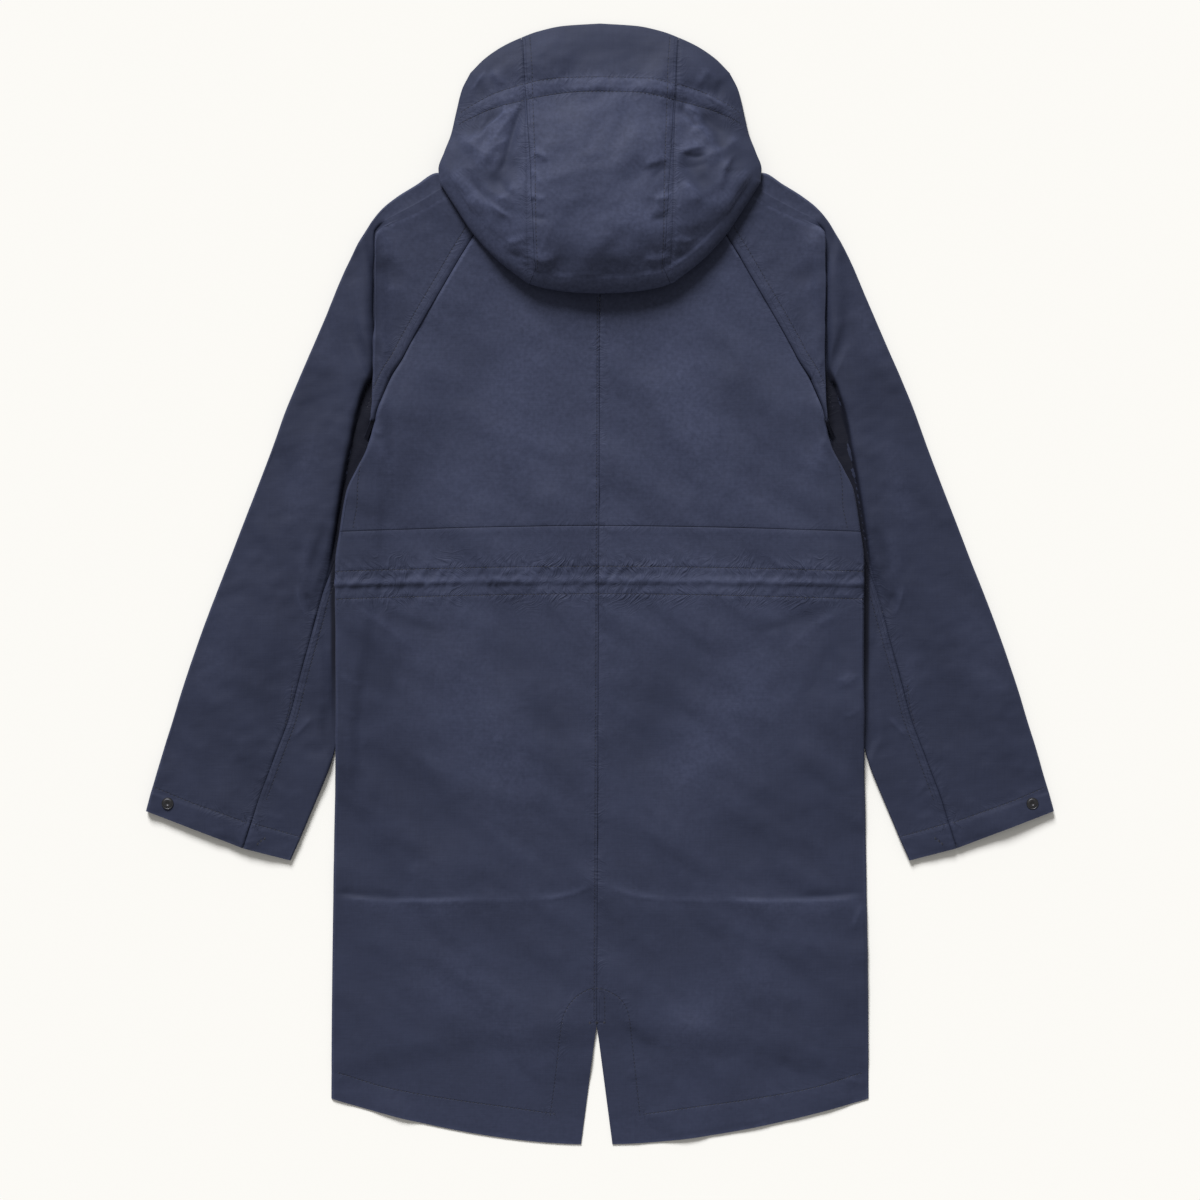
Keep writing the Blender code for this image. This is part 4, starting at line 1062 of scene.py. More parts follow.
    @staticmethod
    def rim_rings(
        edge: Array, loop: Array, normal: Array, heights: tuple[Array, Array, Array]
    ) -> tuple[list[Array], list[float]]:
        """Rounds the rim and turns it in under the hood.

        Args:
            edge: The grid's border points.
            loop: The outline, with its roll and base.
            normal: The outline's normals in plan.
            heights: Full height at the border, height of the outline, and the rounding's reach.

        Returns:
            The rings of points, and the share of the relief that each takes.
        """
        roll, base = loop[:, 2], loop[:, 3]
        full, middle, reach = heights
        plans, shown = [], []
        for angle in np.radians(np.linspace(0.0, 90.0, 13)[1:]):
            out = roll * math.sin(angle)
            z = middle + (full - middle) * HoodForm.rounding(roll - out, reach)
            plans.append((edge[:, :2], out, z))
            shown.append(float(math.cos(angle)))
        for angle in np.radians(np.linspace(0.0, 90.0, 7)[1:]):
            z = base + (middle - base) * (1.0 - math.sin(angle))
            plans.append((loop[:, :2], -roll * (1.0 - math.cos(angle)), z))
        plans.append((loop[:, :2], -roll - HOOD_RETURN, base))
        rings = [np.column_stack([at + out[:, None] * normal, z]) for at, out, z in plans]
        return rings, shown + [0.0] * (len(rings) - len(shown))

    def normals(self) -> Array:
        """Works out each point's normal from the faces round it."""
        face = self.points[self.quads]
        cross = np.cross(face[:, 2] - face[:, 0], face[:, 3] - face[:, 1])
        totals = np.zeros_like(self.points)
        for corner in range(4):
            np.add.at(totals, self.quads[:, corner], cross)
        return to_unit(totals)


# ---------------------------------------------------------------- lines of sewing


class Gathers(NamedTuple):
    """Fine gathers beside a seam or a line of sewing, which the cloth's material draws."""

    path: Path2D
    strength: float
    reach: float


LINE_VALUES = ("line_distance", "line_strength", "gather_strength", "gather_run", "gather_away")
# the last two values paint the cloth: a lighter tone for wear and painted light, and a dark tone of
# painted shade
CLOTH_VALUES = (*LINE_VALUES, "wear", "hollow")


def line_values(
    x: Array, y: Array, shown: Array, lines: Sequence[Path2D], gathers: Sequence[Gathers]
) -> dict[str, Array]:
    """Measures a panel's points against its lines of sewing.

    Args:
        x: The points' x.
        y: The points' y.
        shown: Above 0 where they lie on a face that shows.
        lines: Seams and lines of stitches, each pulled in as a narrow groove.
        gathers: The gathers beside them.

    Returns:
        For each name that the cloth's material reads, one value a point.
    """
    found = {name: np.zeros(x.shape) for name in LINE_VALUES}
    found["line_distance"][:] = 99.0
    for path, strength, reach in (*((line, 0.0, 8 / 3) for line in lines), *gathers):
        line = smooth_path(path)
        inside = near_path(line, 3 * reach, x, y)
        if not inside.any():
            continue
        near = nearest(line, x[inside], y[inside])
        away = np.abs(near.distance)
        if strength:
            patch = 0.62 + 0.38 * soft_noise(near.run / 26.0, 0.0, len(line))
            strength = strength * patch * np.exp(-((away / reach) ** 1.5))
            closer = strength > found["gather_strength"][inside]
            values = dict(zip(LINE_VALUES[2:], (strength, near.run, away)))
        else:
            on = (near.run > 0.01) & (near.run < near.length - 0.01) & (away < 5.5)
            closer = away < np.abs(found["line_distance"][inside])
            values = dict(zip(LINE_VALUES, (near.distance, on * 1.0)))
        for name, value in values.items():
            found[name][inside] = np.where(closer, value, found[name][inside])
    for name in ("line_strength", "gather_strength"):
        found[name] *= shown > 0.01
    return found


def beside(path: Path2D, offset: float, first: int = 0, last: int | None = None) -> Path2D:
    """Draws a line beside another, offset to its left, from one of its points to another."""
    points = np.asarray(path, float)
    tangent = to_unit(np.gradient(points, axis=0))
    moved = points + offset * np.column_stack([-tangent[:, 1], tangent[:, 0]])
    return tuple(map(tuple, moved[first:last].tolist()))


def across_back(y_centre: float, y_side: float, side: Side, x_side: float = 280.0) -> Path2D:
    """Draws a line over one half of the back, bowed as its rows are, out to x_side."""
    shares = np.linspace(0.0, 1.0, 12)
    x_in = float(centre_x(y_centre)) + side * 0.6
    x = x_in + (side * x_side - x_in) * shares
    y = y_centre + (y_side - y_centre) * shares**ROW_BOW
    return tuple(zip(x.tolist(), y.tolist()))


WAIST_SEAM, CHANNEL_UPPER, CHANNEL_LOWER = (61.0, 54.5), (18.4, 13.0), (-10.5, -16.0)
RAGLAN_SEAM: Path2D = tuple(row[:2] for row in RAGLAN)
ELBOW_SEAM: Path2D = tuple(row[:2] for row in ARM)
CENTRE_SEAM: Path2D = ((0, 303), (-1, 100), (-2, -100), (-3, -300), (-3.5, -463))
HEM_LINE: Path2D = ((22, -588), (52, -584), (101, -577), (165, -568), (230, -556), (282, -540))
HEM_BAND = 28.0
BAR_TACK_Y = (-459.4, -460.1, -460.8)  # close rows of stitches at the head of the vent
VENT_FACING = {
    Side.LEFT: ((-3.5, -424), (-13, -426), (-27, -435), (-38, -452), (-42, -475), (-47, -520),
                (-52, -557)),
    Side.RIGHT: ((-3.0, -424), (6, -426), (20, -434), (29, -448), (33, -475), (38, -520),
                 (42, -557)),
}
HEM_STITCHES = {
    side: tuple((side * x, y) for x, y in beside(HEM_LINE, HEM_BAND) if x > inner)
    for side, inner in ((Side.LEFT, 36.0), (Side.RIGHT, 26.0))
}
CUFF_LINE: Path2D = ((371.0, -250.0), (398.0, -240.0), (430.0, -228.5), (466.0, -213.5))
CUFF_GATHERS = (((366, -250.5), (398, -240), (430, -228.5), (468, -213)),
                ((366, -250.5), (340, -258), (314, -265)))
HOOD_SEAM: Path2D = (
    (83.0, 573.0), (80.5, 540.0), (79.8, 515.0), (79.0, 490.0), (77.4, 450.0), (76.4, 410.0),
    (75.6, 365.0), (74.0, 325.0),
)
CHANNELS: tuple[Path2D, Path2D] = (
    ((0, 529), (40, 528), (79, 522), (110, 513), (135, 500.5), (150, 491)),
    ((0, 513.5), (40, 512), (78.5, 505), (110, 497.5), (135, 487.5), (154, 478)),
)


def back_sewing(side: Side, upper: bool) -> tuple[Path2D, ...]:
    """Lists the lines of stitches on a half of the back, above or below the waist seam."""
    heights = (300, 200, 100, 63) if upper else (58, -60, -200, -330, -455)
    down = [tuple((float(centre_x(y)) - 2.6, y) for y in heights)] if side is Side.LEFT else []
    if upper:
        return (*down, mirrored_path(((248, 138), (253, 105), (254, 81), (258, 60)), side))
    tacks = (((side * 7.5 - 3.0, y), (side * 4.0 - 3.2, y), (side * 0.6 - 3.4, y))
             for y in BAR_TACK_Y)
    channel = (across_back(*ends, side, 274.0) for ends in (CHANNEL_UPPER, CHANNEL_LOWER))
    last = () if side is Side.LEFT else (((5.0, -434.0), (5.2, -457.0)),)
    return (*down, *channel, VENT_FACING[side], HEM_STITCHES[side], *tacks, *last)


SLEEVE_SEWING: tuple[Path2D, ...] = (
    beside(RAGLAN_SEAM, 11.5, 1, 12), CUFF_LINE, ((322.5, -107), (325, -128), (329.5, -146)),
)
UNDER_SLEEVE_SEWING: tuple[Path2D, ...] = (
    beside(ELBOW_SEAM, -8.0, 4, 13),
    ((365.5, -250.5), (340.0, -258.0), (316.0, -264.5)),
    *(((358.5, -271.5 - d), (355.0, -268.5 - d), (351.5, -266.0 - d)) for d in (0, 0.7, 1.4)),
)


def clipped(path: Path2D, low_x: float, high_x: float) -> Path2D:
    """Cuts a smooth line to a span of x."""
    line = smooth_path(path)
    return tuple(map(tuple, line[(line[:, 0] > low_x) & (line[:, 0] < high_x)][::3].tolist()))


def hood_sewing(side: int) -> tuple[Path2D, ...]:
    """Lists the lines of stitches on the hood's left, centre or right panel: -1, 0 or 1."""
    if side:
        return tuple(mirrored_path(clipped(path, 81.0, 152.0), side) for path in CHANNELS)
    halves = [clipped(path, -1.0, 78.5) for path in CHANNELS]
    lines = [tuple((-x, y) for x, y in half[:0:-1]) + half for half in halves]
    inside = tuple((x - 9.5, y) for x, y in HOOD_SEAM)
    return (*lines, *(mirrored_path(inside, side) for side in Side))


# ---------------------------------------------------------------- folds listed one by one

BACK_SWELLS = (Swell(3.0, 95, 40, -58), Swell(1.1, 42, 22, -35), Swell(0.35, 17, 11, -70))
SLEEVE_SWELLS = (Swell(1.8, 90, 34, -68), Swell(0.7, 36, 18, -50), Swell(0.3, 15, 10, 20))
HOOD_SWELLS = (Swell(3.2, 55, 42, 30), Swell(1.2, 26, 18, 60), Swell(0.4, 12, 9, 10))
ROUND = 2.0  # a crease's power


def back_creases(side: Side) -> list[Feature]:
    """Lists the folds and gathers of one half of the back."""
    down, up = (17.0, 9.2)[::side]
    cord_flanks, fold_flanks = (4.2, 1.9)[::side], (15.0, 1.8)[::side]
    found: list[Feature] = [
        # the waist seam, where the lower panel laps the upper one
        Crease(across_back(*WAIST_SEAM, side), -0.25, 1.5, 1.5, fade=0.0),
        Crease(across_back(56.5, 50.0, side), 0.2, 3.5, 3.5, fade=0.0),
        # the cord in its channel: a ridge with a sharp lower flank
        Crease(across_back(3.0, -0.6, side), 1.5, *cord_flanks, fade=0.0),
        Crease(across_back(-2.4, -6.2, side), -0.2, 2.0, 2.0, fade=0.0),
        Pucker(across_back(*CHANNEL_UPPER, side), 1.8, up, down, 12.5, 0.55 * side),
        Pucker(across_back(*CHANNEL_LOWER, side), 1.6, 9.0, 9.0, 13.5, -0.4 * side),
        Pucker(across_back(4.0, 0.0, side), 1.5, 7.0, 7.0, 10.5, 0.8 * side, 0.75),
        # the seam down the middle
        Pucker(CENTRE_SEAM, 0.55, 8.0, 8.0, 11.0, 0.2, 0.5),
        Crease(CENTRE_SEAM, -0.15, 1.3, 1.3, fade=0.0),
        *creases(
            # the line where it was folded, strong near the sides
            ((1.7, *fold_flanks, 1.3, 0.22), (282, -327), (240, -331), (190, -332.5), (130, -331)),
            ((-1.5, 5, 5, 1.4, 0.3), (284, -323), (240, -327), (200, -329.5)),
            ((0.7, 5, 5, 1.2, 0.25), (180, -332), (60, -330), (3, -317)),
            ((0.9, 3, 3, 1.3, 0.3), (66, -331), (35, -327), (6, -316)),
            # drag lines below the waist
            ((0.9, 8, 5, 1.6), (262, -24), (222, -47), (190, -78)),
            ((-0.9, 7, 7, 1.6), (240, -22), (190, -44), (150, -52)),
            ((-1.1, 12, 12), (268, -44), (236, -84), (205, -140)),
            ((0.9, 3.5, 6, 1.4), (273, -92), (258, -104), (243, -106)),
            ((0.6, 3, 5, 1.4), (274, -128), (262, -137), (250, -138)),
            ((1.2, 34, 34), (210, -60), (120, -150), (60, -270)),
            ((-0.9, 26, 26), (120, -30), (70, -110), (30, -220)),
            ((-1.0, 30, 30), (250, -170), (180, -240), (120, -300)),
            ((0.9, 32, 32), (230, -380), (120, -440), (60, -540)),
            # the hem's turned-up band
            ((0.45, 13, 13, 6, 0), *beside(HEM_LINE, 14.0)),
            side=side,
        ),
        Pucker(HEM_STITCHES[side], 0.35, 7.0, 7.0, 15.0, 0.3 * side, 0.5),
        Pucker(VENT_FACING[side], 0.45, 7.0, 7.0, 13.0, 0.2, 0.4),
        *creases(
            # the upper back, and beside the raglan seam
            ((-0.8, 40, 30), (120, 300), (150, 200), (170, 110)),
            ((0.8, 34, 34), (60, 290), (95, 180), (110, 80)),
            ((0.9, 9, 14), (236, 160), (222, 120), (215, 80)),
            ((-0.5, 4, 4, 1.5), (246, 128), (252, 100), (254, 75)),
            ((-1.3, 1.7, 1.7, ROUND, 0), *RAGLAN_SEAM),
            side=side,
        ),
    ]
    if side is Side.LEFT:
        return found + creases(
            ((1.6, 2, 3, 1.4), (-238, 168), (-234, 160), (-226, 154)),
            ((0.7, 3.5, 8, 1.5), (-232, 150), (-222, 128), (-216, 100)),
            ((0.8, 3, 3), (-196, 6), (-182, -2), (-176, -10)),
        )
    return found + creases(
        ((0.9, 4, 2.5, 1.4), (276, -333), (270, -347), (264, -364)),
        ((0.7, 3, 3, 1.4), (262, -92), (256, -100), (244, -101)),
        ((0.8, 3, 6, 1.5), (237, 158), (232, 140), (236, 120)),
        ((0.6, 3, 5, 1.4), (282, -528), (268, -522), (252, -519)),
    )


SLEEVE_CREASES: tuple[Feature, ...] = (
    Crease(RAGLAN_SEAM, -1.0, 1.7, 1.7, fade=0.0),
    Crease(beside(RAGLAN_SEAM, 6.0), 0.5, 4.5, 4.5, 4.0, 0.0),
    Pucker(RAGLAN_SEAM, 0.35, 9.0, 4.0, 14.0),
    Crease(ELBOW_SEAM, -0.9, 1.5, 1.5, fade=0.0),
    Crease(beside(ELBOW_SEAM, -4.2, 4, 13), 0.5, 3.6, 3.6, 4.0, 0.1),
    Pucker(ELBOW_SEAM, 0.7, 9.0, 9.0, 12.0, 0.3, 0.5),
    *creases(
        # soft drapes beside the shoulder fold
        ((-1.3, 7, 11, 1.8), (236, 338), (224, 326), (211, 323), (199, 330)),
        ((0.8, 6, 9, 1.8), (235, 318), (222, 309), (206, 308)),
        ((0.8, 8, 12), (232, 372), (222, 352), (219, 330)),
        ((0.7, 4, 6), (234, 268), (226, 252), (224, 236)),
        ((0.8, 3, 5), (235, 242), (229, 226), (231, 206)),
        ((-0.7, 9, 9), (222, 300), (210, 280), (212, 250)),
        # the upper arm
        ((1.0, 10, 16), (262, 330), (283, 262), (302, 198)),
        ((-1.5, 15, 18), (276, 240), (296, 196), (306, 150)),
        ((1.2, 11, 16), (290, 170), (312, 108), (326, 40)),
        ((1.3, 7, 9), (302, 60), (309, 22), (309, -12)),
        ((-1.0, 6, 6), (285, 64), (297, 30), (304, 2)),
        # at the elbow
        ((1.5, 3, 6, 1.4), (318, 2), (314, -22), (305, -38)),
        ((-1.4, 3.5, 3.5, 1.4), (309, -8), (303, -22), (299, -34)),
        ((0.7, 8, 10), (330, -60), (326, -100), (331, -140)),
        ((-0.8, 24, 24), (350, -90), (362, -140), (382, -190)),
        ((0.8, 18, 24), (380, 0), (402, -70), (425, -140)),
        ((1.2, 3, 5, 1.4), (323, -163), (312, -151), (300, -138)),
        ((-0.8, 7, 7), (312, -168), (298, -176), (284, -172)),
        ((0.6, 3.5, 5), (346, -208), (338, -214), (330, -226)),
        ((0.5, 3, 4), (353, -240), (340, -245), (328, -246)),
        # the cuff's turned-up band
        ((0.45, 12, 12, 6, 0), (368, -264), (398, -254), (430, -242), (472, -226)),
        ((0.45, 12, 12, 6, 0), (368, -264), (342, -271.5), (319, -278)),
    ),
    *(Pucker(path, 0.4, 6.0, 6.0, 12.0) for path in CUFF_GATHERS),
)


def hood_creases() -> list[Feature]:
    """Lists the folds and gathers of the hood."""
    upper, lower = CHANNELS
    both: list[Feature] = [
        Crease(HOOD_SEAM, -0.8, 1.5, 1.5, fade=0.0),
        Pucker(HOOD_SEAM, 0.6, 7.0, 11.0, 13.0, 0.2, 0.4),
        *creases(((1.6, 6.8, 6.8, 4, 0), (0, 521.3), (40, 520), (79, 513.5), (110, 505.5),
                  (135, 494), (152, 484.5))),
        Crease(lower, -0.5, 2.4, 2.4, fade=0.0),
        Pucker(upper, 0.9, 7.0, 5.0, 11.0, 0.5, 0.4),
        Pucker(lower, 0.9, 5.0, 9.0, 12.0, -0.4, 0.4),
        *creases(
            # the side panels' loose cloth, which hangs from the channel and the seam
            ((4.6, 9, 6, 1.6), (84, 500), (102, 474), (122, 446)),
            ((-3.5, 7, 7, 1.6), (92, 496), (116, 482), (136, 462)),
            ((3.2, 8, 6, 1.7), (150, 470), (128, 452), (102, 440)),
            ((-3.2, 8, 9, 1.7), (80, 446), (98, 428), (112, 404)),
            ((2.9, 9, 12), (160, 440), (140, 410), (118, 380)),
            ((2.2, 4, 6, 1.5), (116, 540), (104, 524), (98, 518)),
            ((-2.2, 5, 5, 1.5), (132, 530), (122, 512), (120, 506)),
            # short puckers down both seams
            ((2.0, 3, 4, 1.5), (75, 405), (64, 399), (54, 400)),
            ((-1.7, 4, 4, 1.5), (75, 385), (62, 378), (52, 380)),
            ((1.7, 3, 4, 1.5), (76, 362), (88, 356), (100, 357)),
            ((2.0, 4, 6, 1.5), (75, 344), (60, 336), (44, 338)),
            ((-1.4, 4, 4, 1.5), (76, 340), (90, 341), (102, 346)),
        ),
    ]
    return [made for feature in both for made in (feature, mirrored(feature))] + creases(
        # crisp folds that fan out from the left seam under the channel
        ((-3.8, 4.5, 2.4, 1.3, 0.2), (-79, 503), (-84, 495), (-94.5, 461), (-101, 437),
         (-110, 423)),
        ((3.2, 5, 2, 1.3, 0.25), (-84, 499), (-100, 490), (-115.5, 479), (-135, 453)),
        ((2.3, 4, 2, 1.3), (-116, 490), (-125, 478), (-137, 456)),
        ((2.8, 4.5, 2, 1.3), (-118, 541), (-127, 528), (-136, 514)),
        ((1.9, 3, 2, 1.3), (-104, 512), (-100, 498), (-104, 486)),
        ((2.2, 2.2, 4.5, 1.4), (-122, 406), (-110, 392), (-90, 377)),
        ((-2.3, 4.5, 3, 1.4), (-138, 428), (-126, 408), (-104, 386)),
        # and on the right
        ((-3.5, 2.4, 4.5, 1.3, 0.25), (82, 501), (92, 489), (104, 474)),
        ((2.5, 2, 4, 1.3), (137, 529), (147, 510), (151, 488)),
        ((2.2, 2, 3, 1.3), (107, 515), (118, 506), (130, 495)),
        ((-2.6, 2.2, 4, 1.3), (84, 448), (98, 445), (112, 447)),
        ((2.5, 3, 4.5, 1.3), (82, 420), (96, 408), (104, 388)),
        ((2.3, 2.5, 5, 1.3), (142, 452), (130, 430), (126, 404)),
        # the pinch on the right seam
        ((2.8, 2.6, 8, 1.4), (76, 442), (60, 438), (42, 430)),
        ((-1.8, 5, 5, 1.4), (74, 436), (62, 428), (52, 416)),
        ((2.2, 6, 3, 1.4), (78, 446), (94, 452), (112, 456)),
        ((-1.5, 5, 5, 1.4), (78, 436), (96, 434), (116, 440)),
        # on the left seam
        ((2.5, 4, 3, 1.4), (-73, 450), (-62, 446), (-54, 438)),
        ((2.0, 3, 4, 1.4), (-75, 432), (-66, 424), (-61, 412)),
        ((3.5, 7, 5, 1.5), (-90, 466), (-112, 452), (-128, 428)),
        ((3.2, 6, 4, 1.5), (-88, 418), (-97, 404), (-110, 396)),
        ((-2.5, 7, 7, 1.6), (-84, 396), (-100, 410), (-116, 432)),
        # on the right panel
        ((2.9, 3.5, 5, 1.4), (88, 500), (104, 490), (108, 478)),
        ((-2.8, 9, 9), (112, 470), (132, 452), (150, 420)),
        # the pouch
        ((-2.2, 16, 16), (-60, 352), (-20, 330), (40, 328)),
        ((1.7, 14, 14), (10, 392), (50, 368), (70, 340)),
    )


def back_gathers(side: Side) -> tuple[Gathers, ...]:
    """Lists the fine gathers of one half of the back."""
    return (
        Gathers(across_back(*CHANNEL_UPPER, side), 5.0, 12.0),
        Gathers(across_back(*CHANNEL_LOWER, side), 4.4, 11.0),
        Gathers(across_back(*WAIST_SEAM, side), 1.4, 7.0),
        Gathers(CENTRE_SEAM, 2.0, 8.0),
        Gathers(HEM_STITCHES[side], 1.3, 7.0),
        Gathers(VENT_FACING[side], 1.5, 7.0),
        Gathers(mirrored_path(RAGLAN_SEAM, side), 1.2, 6.0),
    )


SLEEVE_GATHERS = (
    Gathers(beside(RAGLAN_SEAM, 11.5, 1, 12), 1.9, 8.0),
    Gathers(ELBOW_SEAM, 2.2, 9.0),
    *(Gathers(path, 1.6, 7.0) for path in CUFF_GATHERS),
)
HOOD_GATHERS = tuple(
    Gathers(mirrored_path(path, side), strength, reach)
    for side in Side
    for path, strength, reach in (
        (HOOD_SEAM, 2.6, 9.0), (CHANNELS[0], 2.8, 8.0), (CHANNELS[1], 2.8, 9.0),
    )
)


# ---------------------------------------------------------------- finishes

Socket = bpy.types.NodeSocket
METRE = 1000.0  # a size that leaves a place's own scale as it is


def linear(hex_colour: str) -> tuple[float, float, float, float]:
    """Turns an sRGB hex colour of six digits into a linear one with an alpha of 1."""
    parts = [int(hex_colour[i : i + 2], 16) / 255 for i in (0, 2, 4)]
    red, green, blue = (p / 12.92 if p <= 0.04045 else ((p + 0.055) / 1.055) ** 2.4 for p in parts)
    return (red, green, blue, 1.0)


@dataclass
class Nodes:
    """Builds a node tree, node by node."""

    tree: bpy.types.NodeTree

    def connect(self, node: bpy.types.Node, inputs: dict[str | int, object]) -> None:
        """Gives a node's input sockets their values, or links the sockets that feed them."""
        for name, value in inputs.items():
            if isinstance(value, Socket):
                self.tree.links.new(value, node.inputs[name])
            else:
                node.inputs[name].default_value = value

    def add(
        self,
        kind: str,
        inputs: dict[str | int, object] | None = None,
        out: str | int = 0,
        **settings: object,
    ) -> Socket | None:
        """Adds a node with its settings, values and links.

        Args:
            kind: The node's type.
            inputs: For each input socket, a value or the output socket that feeds it.
            out: Which of its outputs to give.
            settings: Values of its own properties.

        Returns:
            That output, or None for a node without any.
        """
        node = self.tree.nodes.new(kind)
        for name, value in settings.items():
            setattr(node, name, value)
        self.connect(node, inputs or {})
        return node.outputs[out] if len(node.outputs) else None

    def math(self, operation: str, *values: object) -> Socket:
        """Works out an operation on numbers or sockets."""
        return self.add("ShaderNodeMath", dict(enumerate(values)), operation=operation)


class Shading(Nodes):
    """A new material's nodes, with its Principled shader and the places in its object."""

    def __init__(self, name: str, **inputs: object) -> None:
        """Makes the material, with values for the shader's sockets."""
        self.made = bpy.data.materials.new(name)
        self.made.use_nodes = True
        super().__init__(self.made.node_tree)
        self.place = self.add("ShaderNodeTexCoord", out="Object")
        self.feed(**inputs)

    def feed(self, **inputs: object) -> bpy.types.Material:
        """Feeds the shader's sockets, whose names have _ for a space, and gives the material."""
        shader = self.tree.nodes["Principled BSDF"]
        self.connect(shader, {key.replace("_", " "): value for key, value in inputs.items()})
        return self.made

    def noise(self, size_mm: float, place: Socket | None = None, **values: float) -> Socket:
        """Reads noise with bumps of a size, at a place of its own or in the object."""
        inputs = {"Vector": place or self.place, "Scale": 1 / (size_mm * MM), **values}
        return self.add("ShaderNodeTexNoise", inputs)

    def mix(self, share: object, first: object, second: object) -> Socket:
        """Mixes two colours by a share of the second."""
        return self.add("ShaderNodeMix", {0: share, 6: first, 7: second}, 2, data_type="RGBA")

    def spread(
        self,
        value: Socket,
        span: tuple[float, float] = (0.0, 1.0),
        over: tuple[float, float] = (0.0, 1.0),
        **settings: object,
    ) -> Socket:
        """Spreads a value's span over another."""
        ends = dict(zip(("From Min", "From Max", "To Min", "To Max"), (*span, *over)))
        return self.add("ShaderNodeMapRange", {"Value": value, **ends}, **settings)

    def bump(
        self, height: Socket, depth_mm: float, strength: float = 1.0, **before: Socket
    ) -> Socket:
        """Turns a height into relief, on top of the relief before it."""
        inputs = {"Height": height, "Strength": strength, "Distance": depth_mm * MM, **before}
        return self.add("ShaderNodeBump", inputs)


@dataclass(frozen=True)
class SewingThread:
    """Spun polyester thread: a shade darker than the cloth, and a little shiny."""

    name: str = "spun_polyester_thread"
    colour: str = "1F2232"
    dark: str = "181A26"
    ply_mm: float = 0.35

    def material(self) -> bpy.types.Material:
        """Makes the thread's material, with the twist of its plies."""
        nodes = Shading(self.name, Roughness=0.6)
        twist = nodes.noise(self.ply_mm)
        tone = nodes.mix(twist, linear(self.dark), linear(self.colour))
        return nodes.feed(Base_Color=tone, Normal=nodes.bump(twist, 0.1, 0.4))


@dataclass(frozen=True)
class PlainWeave:
    """Cotton and nylon plain weave: matt navy with a soft cool sheen, fine threads and slubs."""

    name: str
    colour: str
    light: str
    dark: str
    # lighter tone for wear and for painted light
    worn_and_lit: str = "454B66"
    # dark tone of painted shade, for the hollow at the armpit
    painted_shade_colour: str = "0B0E1E"
    sheen_tint: str = "AEB6DC"
    sheen: float = 0.08
    roughness: tuple[float, float] = (0.65, 0.79)
    thread_mm: float = 1.4  # real threads are 0.4 mm apart, drawn coarser so that they show
    weave_depth_mm: float = 0.055
    groove_mm: float = 1.0
    groove_depth_mm: float = 0.24
    # darkens each groove towards the thread's colour: painted shade in the groove, and the thread
    # in it
    groove_shade_and_thread: float = 0.12
    gather_mm: float = 5.0
    gather_slant: float = 1.5
    crumples: tuple[tuple[float, float], ...] = ((46.0, 0.85), (17.0, 0.3))

    def material(self) -> bpy.types.Material:
        """Makes the cloth's material, which reads CLOTH_VALUES from the piece's points."""
        tint = linear(self.sheen_tint)
        nodes = Shading(self.name, Sheen_Weight=self.sheen, Sheen_Tint=tint)
        nodes.feed(Sheen_Roughness=0.45, Specular_IOR_Level=0.22)
        read = {
            name: nodes.add("ShaderNodeAttribute", out="Fac", attribute_name=name)
            for name in CLOTH_VALUES
        }
        patch, mottle = (nodes.noise(size, Detail=3.0) for size in (60, 4))
        threads = []
        for run in ((1.0, 0.06, 0.06), (0.06, 1.0, 0.06)):
            scale = [part / (self.thread_mm * MM) for part in run]
            across = nodes.add("ShaderNodeMapping", {"Vector": nodes.place, "Scale": scale})
            threads.append(nodes.noise(METRE, across, Detail=1.0))
        weave = nodes.math("ADD", *threads)
        # the narrow groove that each seam and line of stitches pulls in
        away = nodes.math("ABSOLUTE", read["line_distance"])
        edge = (0.0, self.groove_mm)
        profile = nodes.spread(away, edge, (1.0, 0.0), interpolation_type="SMOOTHSTEP")
        groove = nodes.math("MULTIPLY", profile, read["line_strength"])
        tone: object = linear(self.dark)
        for share, over in (
            (patch, self.light),
            (0.45, self.colour),
            (nodes.spread(weave, (0.7, 1.3), (0.0, 0.34)), self.light),
            # lighter where rubbed, and painted light on crests, towards the top and over the
            # shoulders
            (nodes.math("MULTIPLY", read["wear"], mottle), self.worn_and_lit),
            # painted shade in the hollow at the armpit
            (read["hollow"], self.painted_shade_colour),
            # painted shade in each groove, with the thread's colour
            (nodes.math("MULTIPLY", groove, self.groove_shade_and_thread), SewingThread.colour),
        ):
            tone = nodes.mix(share, tone, linear(over))
        folds = nodes.bump(self.fine_folds(nodes, read, groove, patch), 1.0)
        relief = nodes.bump(weave, self.weave_depth_mm, Normal=folds)
        rough = nodes.spread(patch, over=self.roughness)
        return nodes.feed(Base_Color=tone, Roughness=rough, Normal=relief)

    def fine_folds(
        self, nodes: Shading, read: dict[str, Socket], groove: Socket, patch: Socket
    ) -> Socket:
        """Adds up the grooves, the fine gathers beside them and the cloth's crumple.

        Args:
            nodes: The material's nodes.
            read: The piece's own values.
            groove: How far each place is pulled in.
            patch: Slow noise that turns the gathers to and fro.

        Returns:
            Their height in millimetres.
        """
        away = read["gather_away"]
        slant = nodes.spread(patch, (0.35, 0.65), (-self.gather_slant, self.gather_slant))
        run = nodes.math("MULTIPLY_ADD", away, slant, read["gather_run"])
        line = nodes.add("ShaderNodeCombineXYZ", {"X": run, "Y": away})
        scale = (1 / self.gather_mm, 0.3 / self.gather_mm, 1.0)
        stretched = nodes.add("ShaderNodeMapping", {"Vector": line, "Scale": scale})
        layers = [(METRE, stretched, read["gather_strength"])]
        layers += [(size, None, depth) for size, depth in self.crumples]
        height = nodes.math("MULTIPLY", groove, -self.groove_depth_mm)
        for size, place, depth in layers:
            waves = nodes.noise(size, place, Detail=2.5, Distortion=0.35)
            fold = nodes.math("ABSOLUTE", nodes.math("SUBTRACT", waves, 0.5))
            height = nodes.math("MULTIPLY_ADD", fold, depth, height)
        return height


